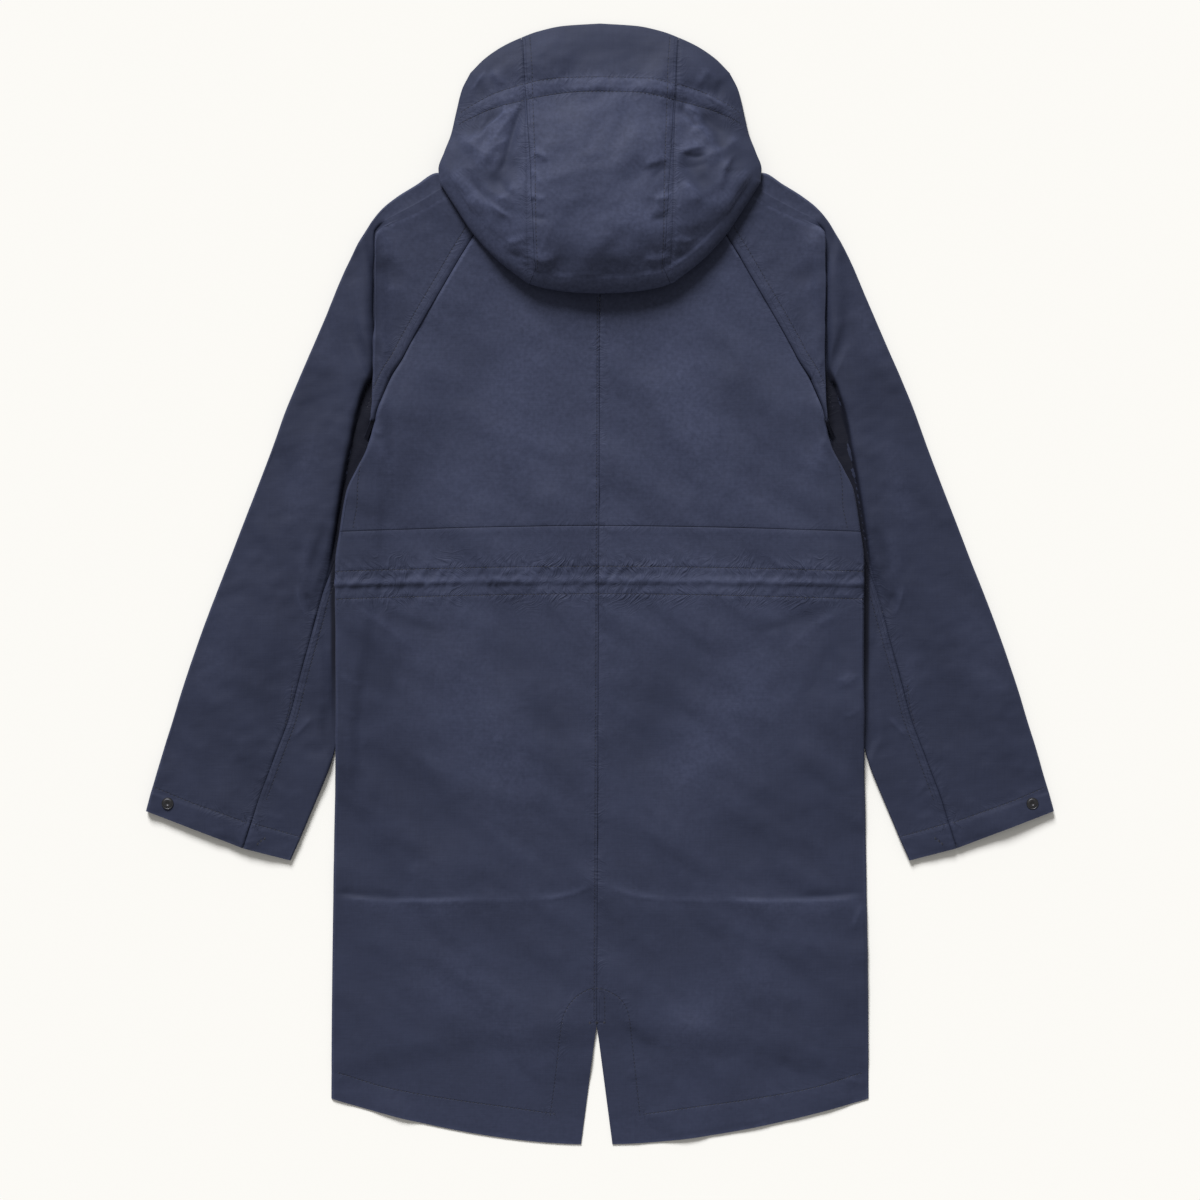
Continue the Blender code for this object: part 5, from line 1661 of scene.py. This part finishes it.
@dataclass(frozen=True)
class PlatedBrass:
    """Gunmetal plated brass, die struck: dark, softly shiny, with fine handling marks."""

    name: str = "gunmetal_plated_brass"
    colour: str = "5A5A5E"
    dark: str = "3C3C40"

    def material(self) -> bpy.types.Material:
        """Makes the metal's material."""
        nodes = Shading(self.name, Metallic=1.0)
        marks = nodes.noise(1.2, Detail=5.0)
        tone = nodes.mix(marks, linear(self.dark), linear(self.colour))
        return nodes.feed(Base_Color=tone, Roughness=nodes.spread(marks, over=(0.32, 0.5)))


@dataclass(frozen=True)
class StudioPaper:
    """Matt warm white background paper."""

    name: str = "matt_white_paper"
    colour: str = "F5F4F1"

    def material(self) -> bpy.types.Material:
        """Makes the paper's material, with a faint tooth."""
        nodes = Shading(self.name, Roughness=1.0, Specular_IOR_Level=0.0)
        tooth = nodes.bump(nodes.noise(3, Detail=3.0), 0.05, 0.1)
        return nodes.feed(Base_Color=linear(self.colour), Normal=tooth)


class Finish(Enum):
    """The finishes of the object and its floor."""

    SHELL = PlainWeave("cotton_nylon_plain_weave", "272C40", "2E344B", "212537")
    # a darker copy of the cloth: painted shade on the hidden fronts and on the hood's folded layers
    SHELL_INSIDE = PlainWeave("cotton_nylon_plain_weave_shaded", "24283A", "292D41", "1F2231")
    THREAD = SewingThread()
    SNAP = PlatedBrass()
    PAPER = StudioPaper()


@dataclass
class Finishes:
    """The materials, each made once."""

    made: dict[Finish, bpy.types.Material] = field(default_factory=dict)

    def get(self, finish: Finish) -> bpy.types.Material:
        """Gives a finish's material, and makes it the first time."""
        if finish not in self.made:
            self.made[finish] = finish.value.material()
        return self.made[finish]


# ---------------------------------------------------------------- stitches


@dataclass
class Stitcher:
    """Sews lines of stitches onto a finished panel with Geometry Nodes.

    Attributes:
        finishes: The object's materials.
        pitch: Spacing of the stitches.
        length_share: Length of a stitch, as a share of that.
        thickness: Its thickness. Real thread is 0.3 mm, drawn thicker so that it shows.
        sunk: How deep its middle lies under the cloth's face.
        step: Spacing of the points where a line is dropped onto the cloth.
        above: A height over all the cloth, in metres.
        least_up: How far up the cloth has to face where a stitch lies.
        seed: Seed of the stitches' unevenness.
    """

    finishes: Finishes
    pitch: float = 4.2
    length_share: float = 0.72
    thickness: float = 0.85
    sunk: float = 0.12
    step: float = 1.4
    above: float = 0.2
    least_up: float = 0.2
    seed: int = 11
    tree: bpy.types.NodeTree | None = None

    def node_tree(self) -> bpy.types.NodeTree:
        """Builds the tree that puts a thin grain of thread at each step of a line."""
        if self.tree is not None:
            return self.tree
        tree = bpy.data.node_groups.new("line_of_stitches", "GeometryNodeTree")
        inputs = {"Geometry": "Geometry", "Pitch": "Float", "Stitch Length": "Float"}
        inputs |= {"Thickness": "Float", "Seed": "Int", "Material": "Material"}
        for name, kind in inputs.items():
            tree.interface.new_socket(name, in_out="INPUT", socket_type=f"NodeSocket{kind}")
        tree.interface.new_socket("Geometry", in_out="OUTPUT", socket_type="NodeSocketGeometry")
        add = Nodes(tree).add
        given = add("NodeGroupInput").node.outputs
        curve = add("GeometryNodeMeshToCurve", {"Mesh": given["Geometry"]})
        step = {"Curve": curve, "Length": given["Pitch"]}
        run = {"Vector": add("GeometryNodeInputTangent")}
        uneven = {2: 0.86, 3: 1.1, "Seed": given["Seed"]}
        share = add("FunctionNodeRandomValue", uneven, 1, data_type="FLOAT")
        length = Nodes(tree).math("MULTIPLY", given["Stitch Length"], share)
        sides = {"X": given["Thickness"], "Y": given["Thickness"], "Z": length}
        sown = {
            "Points": add("GeometryNodeResampleCurve", step, mode="LENGTH"),
            "Instance": add("GeometryNodeMeshUVSphere", {"Segments": 6, "Rings": 4, "Radius": 0.5}),
            "Rotation": add("FunctionNodeAlignRotationToVector", run, axis="Z"),
            "Scale": add("ShaderNodeCombineXYZ", sides),
        }
        placed = {"Geometry": add("GeometryNodeInstanceOnPoints", sown)}
        real = {"Geometry": add("GeometryNodeRealizeInstances", placed)}
        coloured = add("GeometryNodeSetMaterial", real | {"Material": given["Material"]})
        add("NodeGroupOutput", {"Geometry": coloured})
        self.tree = tree
        return tree

    def on_surface(self, host: bpy.types.Object, lines: Sequence[Path2D]) -> list[list[Vector]]:
        """Drops plan lines onto a panel from above.

        Args:
            host: The finished panel.
            lines: The lines, in millimetres.

        Returns:
            Runs of points that lie on the panel, in metres.
        """
        mesh, down = host.data, Vector((0, 0, -1))
        faces = [tuple(face.vertices) for face in mesh.polygons]
        cloth = BVHTree.FromPolygons([vertex.co for vertex in mesh.vertices], faces)
        runs: list[list[Vector]] = [[]]
        for line in lines:
            for x, y in smooth_path(line, self.step):
                hit, normal, _, _ = cloth.ray_cast(Vector((x * MM, y * MM, self.above)), down)
                if hit is None or normal.z < self.least_up:
                    runs.append([])
                else:
                    runs[-1].append(hit - normal * self.sunk * MM)
            runs.append([])
        return [run for run in runs if len(run) > 2]

    def sew(self, host: bpy.types.Object, lines: Sequence[Path2D]) -> bpy.types.Object | None:
        """Makes all the stitches of one panel as one piece.

        Args:
            host: The finished panel.
            lines: Its lines of stitches.

        Returns:
            The stitches, or None if no line lies on the panel.
        """
        runs = self.on_surface(host, lines)
        if not runs:
            return None
        name = host.name
        mesh = bpy.data.meshes.new(f"stitch_lines_{name}")
        edges, start = [], 0
        for run in runs:
            edges += [(i, i + 1) for i in range(start, start + len(run) - 1)]
            start += len(run)
        mesh.from_pydata([point for run in runs for point in run], edges, [])
        guide = bpy.data.objects.new(f"stitch_guide_{name}", mesh)
        bpy.context.scene.collection.objects.link(guide)
        modifier = guide.modifiers.new("stitches", "NODES")
        modifier.node_group = self.node_tree()
        values = {
            "Pitch": self.pitch * MM,
            "Stitch Length": self.pitch * MM * self.length_share,
            "Thickness": self.thickness * MM,
            "Seed": self.seed,
            "Material": self.finishes.get(Finish.THREAD),
        }
        for socket in modifier.node_group.interface.items_tree:
            if socket.in_out == "INPUT" and socket.name in values:
                modifier[socket.identifier] = values[socket.name]
        graph = bpy.context.evaluated_depsgraph_get()
        plain = bpy.data.meshes.new_from_object(guide.evaluated_get(graph))
        bpy.data.objects.remove(guide)
        plain.shade_smooth()
        made = bpy.data.objects.new(f"stitches_{name}", plain)
        bpy.context.scene.collection.objects.link(made)
        return made


# ---------------------------------------------------------------- the garment's pieces


class Cut(NamedTuple):
    """A panel's cut: width and length in metres, area in square metres, and how it is held."""

    width: float
    length: float
    area: float
    held: str


CUTS = {
    "back_upper": Cut(0.285, 0.37, 0.073, "laid"),
    "back_lower": Cut(0.29, 0.665, 0.178, "laid"),
    "front": Cut(0.29, 0.88, 0.223, "laid"),
    "sleeve": Cut(0.34, 0.76, 0.147, "folded"),
    "under_sleeve": Cut(0.17, 0.48, 0.04, "folded"),
    "hood": Cut(0.145, 0.31, 0.026, "folded"),
    "hood_centre": Cut(0.19, 0.35, 0.053, "folded"),
}


class Needlework(NamedTuple):
    """What is sewn on a panel: lines of stitches, seams, and the gathers beside both."""

    stitches: Sequence[Path2D] = ()
    seams: Sequence[Path2D] = ()
    gathers: Sequence[Gathers] = ()


@dataclass
class Tailor:
    """Makes panels of cloth: names what they replace, hides it and sews them."""

    finishes: Finishes
    stitcher: Stitcher

    def make(
        self,
        node: str,
        mesh: tuple[Array, list[tuple[int, ...]]],
        face: tuple[Array, Array, Array],
        wear: Array,
        work: Needlework = Needlework(),
        rests_on: Sequence[str] = (),
        **values: Array,
    ) -> None:
        """Makes one panel with all that is sewn on it.

        Args:
            node: The solid that it stands for.
            mesh: Its points and faces.
            face: Its outer face's x and y, and the share of the relief that shows there.
            wear: How much lighter each point of that face is: its wear, and painted light and
                shade.
            work: What is sewn on it.
            rests_on: Nodes or pieces that it lies on. Not used.
            values: What else its material reads.
        """
        is_front = node.startswith("front")
        # the fronts take the darker copy of the cloth, which paints shade on them
        finish = self.finishes.get(Finish.SHELL_INSIDE if is_front else Finish.SHELL)
        values |= line_values(*face, [*work.stitches, *work.seams], work.gathers)
        piece = add_piece(f"{node}_cloth", *mesh, finish, wear=wear, **values)
        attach(piece, "root")
        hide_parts(node)
        thread = self.stitcher.sew(piece, work.stitches)
        extra = [thread] if thread else []
        for stitches in extra:
            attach(stitches, "root")
        *flat, area, held = CUTS[node.removesuffix("_left").removesuffix("_right")]
        tuple(flat)
        triangles = sum(len(polygon.vertices) - 2 for polygon in piece.data.polygons)
        lines = len(work.stitches)
        LOG.info("%s: %d triangles, %d lines of stitches", piece.name, triangles, lines)


# where the painted shade in the hollow between the body and a sleeve ends, and then its narrow
# painted shadow beside the body's edge
PAINTED_SHADE_EDGE: Path2D = (
    (238, 230), (243, 217), (250, 198), (258, 168), (262, 148), (268, 121), (272, 94), (277, 61),
    (281.5, 25), (281.5, -5), (281, -60), (280.5, -120), (280, -190),
)
FOLD_LIGHT = 0.26  # painted light for each millimetre that a fold stands up
FOLD_LIGHT_HEIGHT = 1.5
EDGE_WEAR, LIP_HIGHLIGHT, HEM_WEAR = 0.3, 0.5, 0.45  # wear on a folded edge and a hem, and a painted highlight along the shoulder fold's lip
HEM_WEAR_WIDTH = 2.5
# a lighter tone over the top of a sleeve's shoulder, beside the body's edge
SHOULDER_LIGHTER = 0.45
BACK_WEAR = 0.14
SIDES_SHADED = 0.7  # share of its lighter tone that the back loses towards its sides, as painted shade
PAINTED_SHADE_ENDS = ((234.0, 218.0), (-190.0, -60.0))  # y where the painted shade in the hollow starts and fades
LIP_END_Y = 178.0
SLEEVE_DARKENING = 0.1  # share of the painted-shade tone that all of a sleeve's cloth takes, which darkens the sleeves


def fold_light(crests: Array) -> Array:
    """Paints light on the crests of the folds, and takes it away in their troughs."""
    return FOLD_LIGHT * np.clip(crests, -FOLD_LIGHT_HEIGHT, FOLD_LIGHT_HEIGHT)


def lighter_towards_top(y: Array, most: float) -> Array:
    """Paints light on the cloth: lighter towards the shoulders and the hood, as if lit from the
    top.
    """
    return most * smooth_step(y, -420.0, 380.0)


def hem_wear(away: Array) -> Array:
    """Rubs the cloth near a hem."""
    return HEM_WEAR * np.exp(-((away / HEM_WEAR_WIDTH) ** 2))


@dataclass
class BackHalf:
    """The upper and lower panels of one half of the back."""

    side: Side
    tailor: Tailor
    seed: int = 21

    def build(self) -> None:
        """Makes both panels."""
        under, rest = BackRows.under_raglan(), BackRows.between(UPPER_ROWS)
        lines = zip(vars(under).values(), vars(rest).values())
        upper, before = BackRows(*map(np.concatenate, lines)), len(under.y_side)
        lower = BackRows.between(LOWER_ROWS)
        for line in (upper.y_centre, upper.y_side):
            line[-1] += SEAM_GAP / 2
        for line in (lower.y_centre, lower.y_side):
            line[0] -= SEAM_GAP / 2
        roll = smooth_step(np.arange(len(upper.y_side)), before - 3, before + 4)
        self.panel("back_upper", upper, roll)
        self.panel("back_lower", lower, np.ones(len(lower.y_side)))

    def panel(self, kind: str, rows: BackRows, roll: Array) -> None:
        """Makes one panel.

        Args:
            kind: Its name without the side.
            rows: Its rows.
            roll: How far each row rolls down at the side.
        """
        form, flat = rows.grid(self.side, roll)
        count, columns = form.shape[:2]
        shown = np.ones((count, columns))
        shown[:, flat:] = np.linspace(0.8, 0.0, columns - flat)
        kept_columns = kept(columns, INNER_STEP, range(flat - 1, columns, 2))
        wall = np.full(shown.shape, WALL)
        panel = Panel(form, self.side > 0, wall, shown, kept(count), kept_columns)
        panel.folded(Relief(BACK_SWELLS, back_creases(self.side), self.seed + self.side))
        upper, label = kind == "back_upper", self.side.label
        x, y, _ = np.moveaxis(form, -1, 0)
        # painted light, lighter towards the top, on a little even wear
        wear = BACK_WEAR + lighter_towards_top(y, 0.55)
        # painted shade towards the back's sides
        wear *= 1.0 - SIDES_SHADED * smooth_step(np.abs(x), 150.0, 280.0)
        wear[:, flat:] += EDGE_WEAR
        if not upper:
            wear += hem_wear(y - y[-1])
        raglan = mirrored_path(RAGLAN_SEAM, self.side)
        seams = (CENTRE_SEAM, across_back(*WAIST_SEAM, self.side), raglan)
        work = Needlework(back_sewing(self.side, upper), seams, back_gathers(self.side))
        rests = [f"front_{label}"] if upper else [f"front_{label}", f"under_sleeve_{label}"]
        # painted light on the folds' crests
        wear = wear + fold_light(panel.crests)
        self.tailor.make(f"{kind}_{label}", panel.mesh(), (x, y, shown), wear, work, rests)


@dataclass
class FrontHalf:
    """One front, which the floor flattens and the back hides."""

    side: Side
    tailor: Tailor
    columns: int = 40

    def build(self) -> None:
        """Makes the panel plainly, on its solid's form."""
        under = BackRows.under_raglan()
        body = BackRows.between(np.vstack([UPPER_ROWS, LOWER_ROWS[1:6]]))
        body.x_side = body.x_side - FRONT_INSET
        keep = body.y_side > -330.0
        y_centre, y_side, x_side = (
            np.concatenate([above[::4], below[keep][::3]])
            for above, below in zip(vars(under).values(), vars(body).values())
        )
        down = np.linspace(0.0, 1.0, 20)[1:]
        hem = [y[-1] + (end - y[-1]) * down for y, end in zip((y_centre, y_side), FRONT_HEM)]
        y_centre = np.concatenate([y_centre, hem[0]])[:, None]
        y_side = np.concatenate([y_side, hem[1]])[:, None]
        x_side = np.concatenate([x_side, half_width(hem[1]) - FRONT_INSET])[:, None]
        share = np.linspace(0.0, 1.0, self.columns)
        x = self.side * (SEAM_GAP / 2 + (x_side - SEAM_GAP / 2) * share)
        y = y_centre + (y_side - y_centre) * share**ROW_BOW
        form, none = np.stack([x, y, front_height(x, y)], axis=-1), np.zeros(x.shape)
        wall = np.full(x.shape, WALL)
        panel = Panel(form, self.side < 0, wall, none, kept(len(x), 2), kept(self.columns, 2))
        self.tailor.make(f"front_{self.side.label}", panel.mesh(), (x, y, none), none)


@dataclass
class SleevePair:
    """The main panel and the under-sleeve panel of one sleeve."""

    side: Side
    tailor: Tailor
    seed: int = 51

    def build(self) -> None:
        """Makes both panels."""
        back = SEAM_COLUMNS + LIP_COLUMNS + TOP_COLUMNS
        self.panel("sleeve", sleeve_grid(), back, SLEEVE_SEWING)
        self.panel("under_sleeve", under_sleeve_grid(), UNDER_COLUMNS, UNDER_SLEEVE_SEWING)

    def panel(
        self, kind: str, grid: tuple[Array, Array], back: int, sewing: Sequence[Path2D]
    ) -> None:
        """Makes one panel.

        Args:
            kind: Its name without the side.
            grid: Its points on the wearer's right, and each row's distance from the cuff's edge.
            back: How many columns lie on the back layer.
            sewing: Its lines of stitches, on the wearer's right.
        """
        form, to_cuff = grid
        form[..., 0] *= self.side
        count, columns = form.shape[:2]
        band = smooth_step(to_cuff, CUFF_WIDTH + 1.5, CUFF_WIDTH - 1.5)[:, None]
        half_roll = back + ROLL_COLUMNS // 2
        form[:, :half_roll, 2] += CUFF_EXTRA * band
        shown = np.zeros((count, columns))
        shown[:, :back] = 1.0
        shown[:, back:half_roll] = np.linspace(0.8, 0.0, ROLL_COLUMNS // 2)
        x, y, z = np.abs(form[..., 0]), form[..., 1], form[..., 2]
        body, is_main = half_width(y), kind == "sleeve"
        shown *= np.where(y > UNDERARM_Y, 1.0, smooth_step(x, body + 1.0, body + 9.0))
        kept_columns = kept(columns, INNER_STEP, range(back - 1, back + ROLL_COLUMNS, 2))
        wall = WALL + CUFF_EXTRA * band * np.ones(shown.shape)
        flip = self.side > 0 if is_main else self.side < 0
        panel = Panel(form, flip, wall, shown, kept(count), kept_columns)
        features = SLEEVE_CREASES
        if self.side is Side.LEFT:
            features = [mirrored(feature) for feature in features]
        panel.folded(Relief(SLEEVE_SWELLS, features, self.seed + self.side))
        # painted light, lighter towards the top
        wear = lighter_towards_top(y, 0.15)
        # a lighter tone over the shoulder, beside the body's edge
        shoulder = smooth_step(x, body + 2.0, body - 12.0) * smooth_step(y, 140.0, 330.0)
        wear += SHOULDER_LIGHTER * np.where(y > 120.0, shoulder, 0.0)
        # painted shade: a dark tone in the hollow between the body and the sleeve, and a narrow
        # line of it along the body's edge
        edge = nearest(smooth_path(PAINTED_SHADE_EDGE), x, y)
        starts, fades = PAINTED_SHADE_ENDS
        hollow = smooth_step(edge.distance, 3.2, -0.6) * smooth_step(y, *starts)
        hollow *= smooth_step(y, *fades) * (np.arange(columns) < back)
        deep = smooth_step(z, SLEEVE_LOW + 6.0, SLEEVE_LOW + 3.0)
        lip = SEAM_COLUMNS + LIP_COLUMNS
        hollow[:, :lip] *= np.where(y > UNDERARM_Y, deep, 1.0)[:, :lip]
        if is_main:
            # painted highlight along the shoulder fold's lip
            fold = slice(SEAM_COLUMNS - 1, SEAM_COLUMNS + 4)
            wear[:, fold] += LIP_HIGHLIGHT * (y[:, fold] > LIP_END_Y)
        wear[:, back:half_roll] += EDGE_WEAR
        # wear at the cuff's hem, and painted light on the folds' crests
        wear += hem_wear(to_cuff)[:, None] + fold_light(panel.crests)
        work = Needlework(
            [mirrored_path(path, self.side) for path in sewing],
            [mirrored_path(path, self.side) for path in (RAGLAN_SEAM, ELBOW_SEAM)],
            [Gathers(mirrored_path(path, self.side), *rest) for path, *rest in SLEEVE_GATHERS],
        )
        label = self.side.label
        rests = [f"front_{label}"] if is_main else []
        # every point of the sleeve takes a share of the painted-shade tone
        face, hollow = (form[..., 0], y, shown), np.maximum(hollow, SLEEVE_DARKENING)
        mesh, node = panel.mesh(), f"{kind}_{label}"
        self.tailor.make(node, mesh, face, wear, work, rests, hollow=hollow)


@dataclass
class Hood:
    """The hood's three panels, parted along its two seams, and the folded layers in it."""

    tailor: Tailor
    seed: int = 81
    under_cloth: float = 0.8
    # painted light near the pouch's rim, where its rounding turns away from the light
    rim_wear: float = 0.5
    parting: float = 0.6 * SEAM_GAP  # how far each panel draws back from a seam

    def build(self) -> None:
        """Makes the three panels from one rounded shell."""
        form = HoodForm.made()
        relief = Relief(HOOD_SWELLS, hood_creases(), self.seed)
        height, folds = relief.at(*form.points[:, :2].T)
        height = eased(height * form.shown, np.maximum(form.points[:, 2] - 3.0, 0.3) / 2)
        normals = form.normals()
        depth = (WALL - np.minimum(height, 0.0))[:, None]
        outer, inner = form.points + normals * height[:, None], form.points - normals * depth
        self.folded_layers(form, form.points - normals * (depth + self.under_cloth))
        mean = form.seam_column[form.quads].mean(axis=1)
        is_left, is_right = mean < form.left_seam, mean > form.right_seam
        # painted light and shade of the hood and of its folds
        wear = self.wear(*form.points[:, :2].T) + fold_light(folds * form.shown)
        self.panel("hood_left", form, (outer, inner, wear), is_left, hood_sewing(-1))
        self.panel("hood_centre", form, (outer, inner, wear), ~(is_left | is_right), hood_sewing(0))
        self.panel("hood_right", form, (outer, inner, wear), is_right, hood_sewing(1))

    def wear(self, x: Array, y: Array) -> Array:
        """Paints light on the hood at plan points: lighter in the middle and near the pouch's rim,
        less so on the side panels, the right one least, and near the top edge.
        """
        line = HOOD_POUCH[:, :2]
        line = np.vstack([line[:0:-1] * (-1, 1), line])
        # painted shade on the side panels, the right one most
        darker = np.where(x > 0, 1.0, 0.6) * smooth_step(np.abs(x), 75.0, 150.0)
        wear = lighter_towards_top(y, 0.75) * (1.0 - darker)
        wear *= 1.0 - 0.9 * smooth_step(y, 500.0, 560.0)
        rim = np.abs(nearest(smooth_path(line), x, y).distance)
        low = smooth_step(rim, 55.0, 8.0) * smooth_step(y, 440.0, 400.0)
        return wear + self.rim_wear * low

    def folded_layers(self, form: HoodForm, points: Array) -> None:
        """Makes the hidden layers inside the hood as one plain rounded body.

        Args:
            form: The hood's shell.
            points: The shell's points, moved in under its cloth.
        """
        last_ring = range(len(points) - form.ring_size, len(points))
        faces = [*form.quads.tolist(), tuple(last_ring)]
        # painted shade: the darker copy of the cloth
        inside = self.tailor.finishes.get(Finish.SHELL_INSIDE)
        body = add_piece("hood_folded_layers", points, faces, inside)
        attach(body, "root")
        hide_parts("hood_under")

    def panel(
        self,
        name: str,
        form: HoodForm,
        shell: tuple[Array, Array, Array],
        wanted: Array,
        sewing: Sequence[Path2D],
    ) -> None:
        """Makes one panel with its own wall.

        Args:
            name: Its node.
            form: The whole shell's form.
            shell: Its outer face, its inner face and its wear.
            wanted: Which of its faces belong to this panel.
            sewing: Its lines of stitches.
        """
        used, quads = np.unique(form.quads[wanted], return_inverse=True)
        quads = quads.reshape(-1, 4).tolist()
        outside, inside, wear = (values[used] for values in shell)
        for seam in (form.left_seam, form.right_seam):
            on_seam = form.seam_column[used] == seam
            if on_seam.any():
                away = np.sign(np.mean(outside[:, 0]) - np.mean(outside[on_seam, 0]))
                outside[on_seam, 0] += away * self.parting
                inside[on_seam, 0] += away * self.parting
        count = len(used)
        faces = quads + [[index + count for index in reversed(quad)] for quad in quads]
        sides = {(quad[i], quad[(i + 1) % 4]) for quad in quads for i in range(4)}
        faces += [(b, a, a + count, b + count) for a, b in sides if (b, a) not in sides]
        work = Needlework(sewing, (HOOD_SEAM, mirrored_path(HOOD_SEAM, -1)), HOOD_GATHERS)
        face = (*form.points[used, :2].T, form.shown[used])
        mesh = (np.vstack([outside, inside]), faces)
        self.tailor.make(name, mesh, face, wear, work, ["hood_folded_layers"])


@dataclass
class SnapCap:
    """A domed snap cap on a cuff: rim, groove, dome and a small plain recess."""

    side: Side
    finishes: Finishes
    centre: tuple[float, float] = (453.0, -230.0)
    floor: float = SLEEVE_TOP + CUFF_EXTRA + SEAM_GAP
    segments: int = 48
    profile: tuple[tuple[float, float], ...] = (
        (1.1, 1.47), (1.5, 1.55), (1.75, 1.78), (2.0, 1.9), (3.2, 1.93), (4.2, 1.86), (4.8, 1.7),
        (5.05, 1.52), (5.25, 1.5), (5.45, 1.62), (5.75, 1.7), (6.05, 1.6), (6.25, 1.3), (6.25, 0.0),
    )
    middle_height: float = 1.45

    def build(self) -> None:
        """Turns the profile about its axis."""
        points = [(0.0, 0.0, self.middle_height)]
        rings, n = len(self.profile), self.segments
        for radius, height in self.profile:
            for angle in (math.tau * step / n for step in range(n)):
                points.append((radius * math.cos(angle), radius * math.sin(angle), height))
        points.append((0.0, 0.0, 0.0))
        faces: list[tuple[int, ...]] = []
        for step in range(n):
            after = (step + 1) % n
            faces.append((0, 1 + step, 1 + after))
            for low in range(1, 1 + (rings - 1) * n, n):
                faces.append((low + step, low + n + step, low + n + after, low + after))
            last = 1 + (rings - 1) * n
            faces.append((last + after, last + step, len(points) - 1))
        centre = np.array([self.side * self.centre[0], self.centre[1], self.floor])
        name = f"snap_{self.side.label}"
        metal = self.finishes.get(Finish.SNAP)
        piece = add_piece(f"{name}_cap", np.array(points) + centre, faces, metal, 35.0)
        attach(piece, "root")
        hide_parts(name)
        LOG.info("%s: %d faces", piece.name, len(faces))


@dataclass
class Studio:
    """The pale floor, the soft light and the camera straight above."""

    finishes: Finishes
    floor_m: float = 8.0
    camera_height: float = 2.975
    lens_mm: float = 85.0
    centre_y: float = -0.0168
    sky: float = 0.32
    sky_colour: str = "FFFDF8"
    key: float = 4.42
    key_turn: tuple[float, float, float] = (-58.0, 0.0, 15.0)
    key_softness: float = 22.0

    def build(self) -> None:
        """Makes the floor, the lights and the camera."""
        scene = bpy.context.scene
        half = self.floor_m * 1000 / 2
        plan = ((-1, -1), (1, -1), (1, 1), (-1, 1))
        points = np.array([[half * x, half * y, -0.5] for x, y in plan])
        floor = add_piece("floor", points, [(0, 1, 2, 3)], self.finishes.get(Finish.PAPER))
        world = bpy.data.worlds.new("soft_sky")
        world.use_nodes = True
        back = world.node_tree.nodes["Background"]
        back.inputs["Color"].default_value = linear(self.sky_colour)
        back.inputs["Strength"].default_value = self.sky
        scene.world = world
        light = bpy.data.lights.new("key", "SUN")
        light.energy, light.angle = self.key, math.radians(self.key_softness)
        sun = bpy.data.objects.new("key", light)
        sun.rotation_euler = [math.radians(turn) for turn in self.key_turn]
        camera = bpy.data.cameras.new("camera")
        camera.lens, camera.clip_end = self.lens_mm, 20.0
        camera.sensor_width, camera.sensor_fit = 36.0, "HORIZONTAL"
        holder = bpy.data.objects.new("camera", camera)
        holder.location = (0.0, self.centre_y, self.camera_height)
        for made in (sun, holder):
            scene.collection.objects.link(made)
        scene.camera = holder
        scene.view_settings.view_transform = "Standard"
        LOG.info("studio: floor, sky, one soft key light and the camera")


def main() -> None:
    """Loads the frame and dresses the parka."""
    logging.basicConfig(level=logging.INFO, format="%(message)s")
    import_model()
    finishes = Finishes()
    tailor = Tailor(finishes, Stitcher(finishes))
    Studio(finishes).build()
    for side in Side:
        FrontHalf(side, tailor).build()
        SleevePair(side, tailor).build()
        BackHalf(side, tailor).build()
        SnapCap(side, finishes).build()
    Hood(tailor).build()


if __name__ == "__main__":
    main()
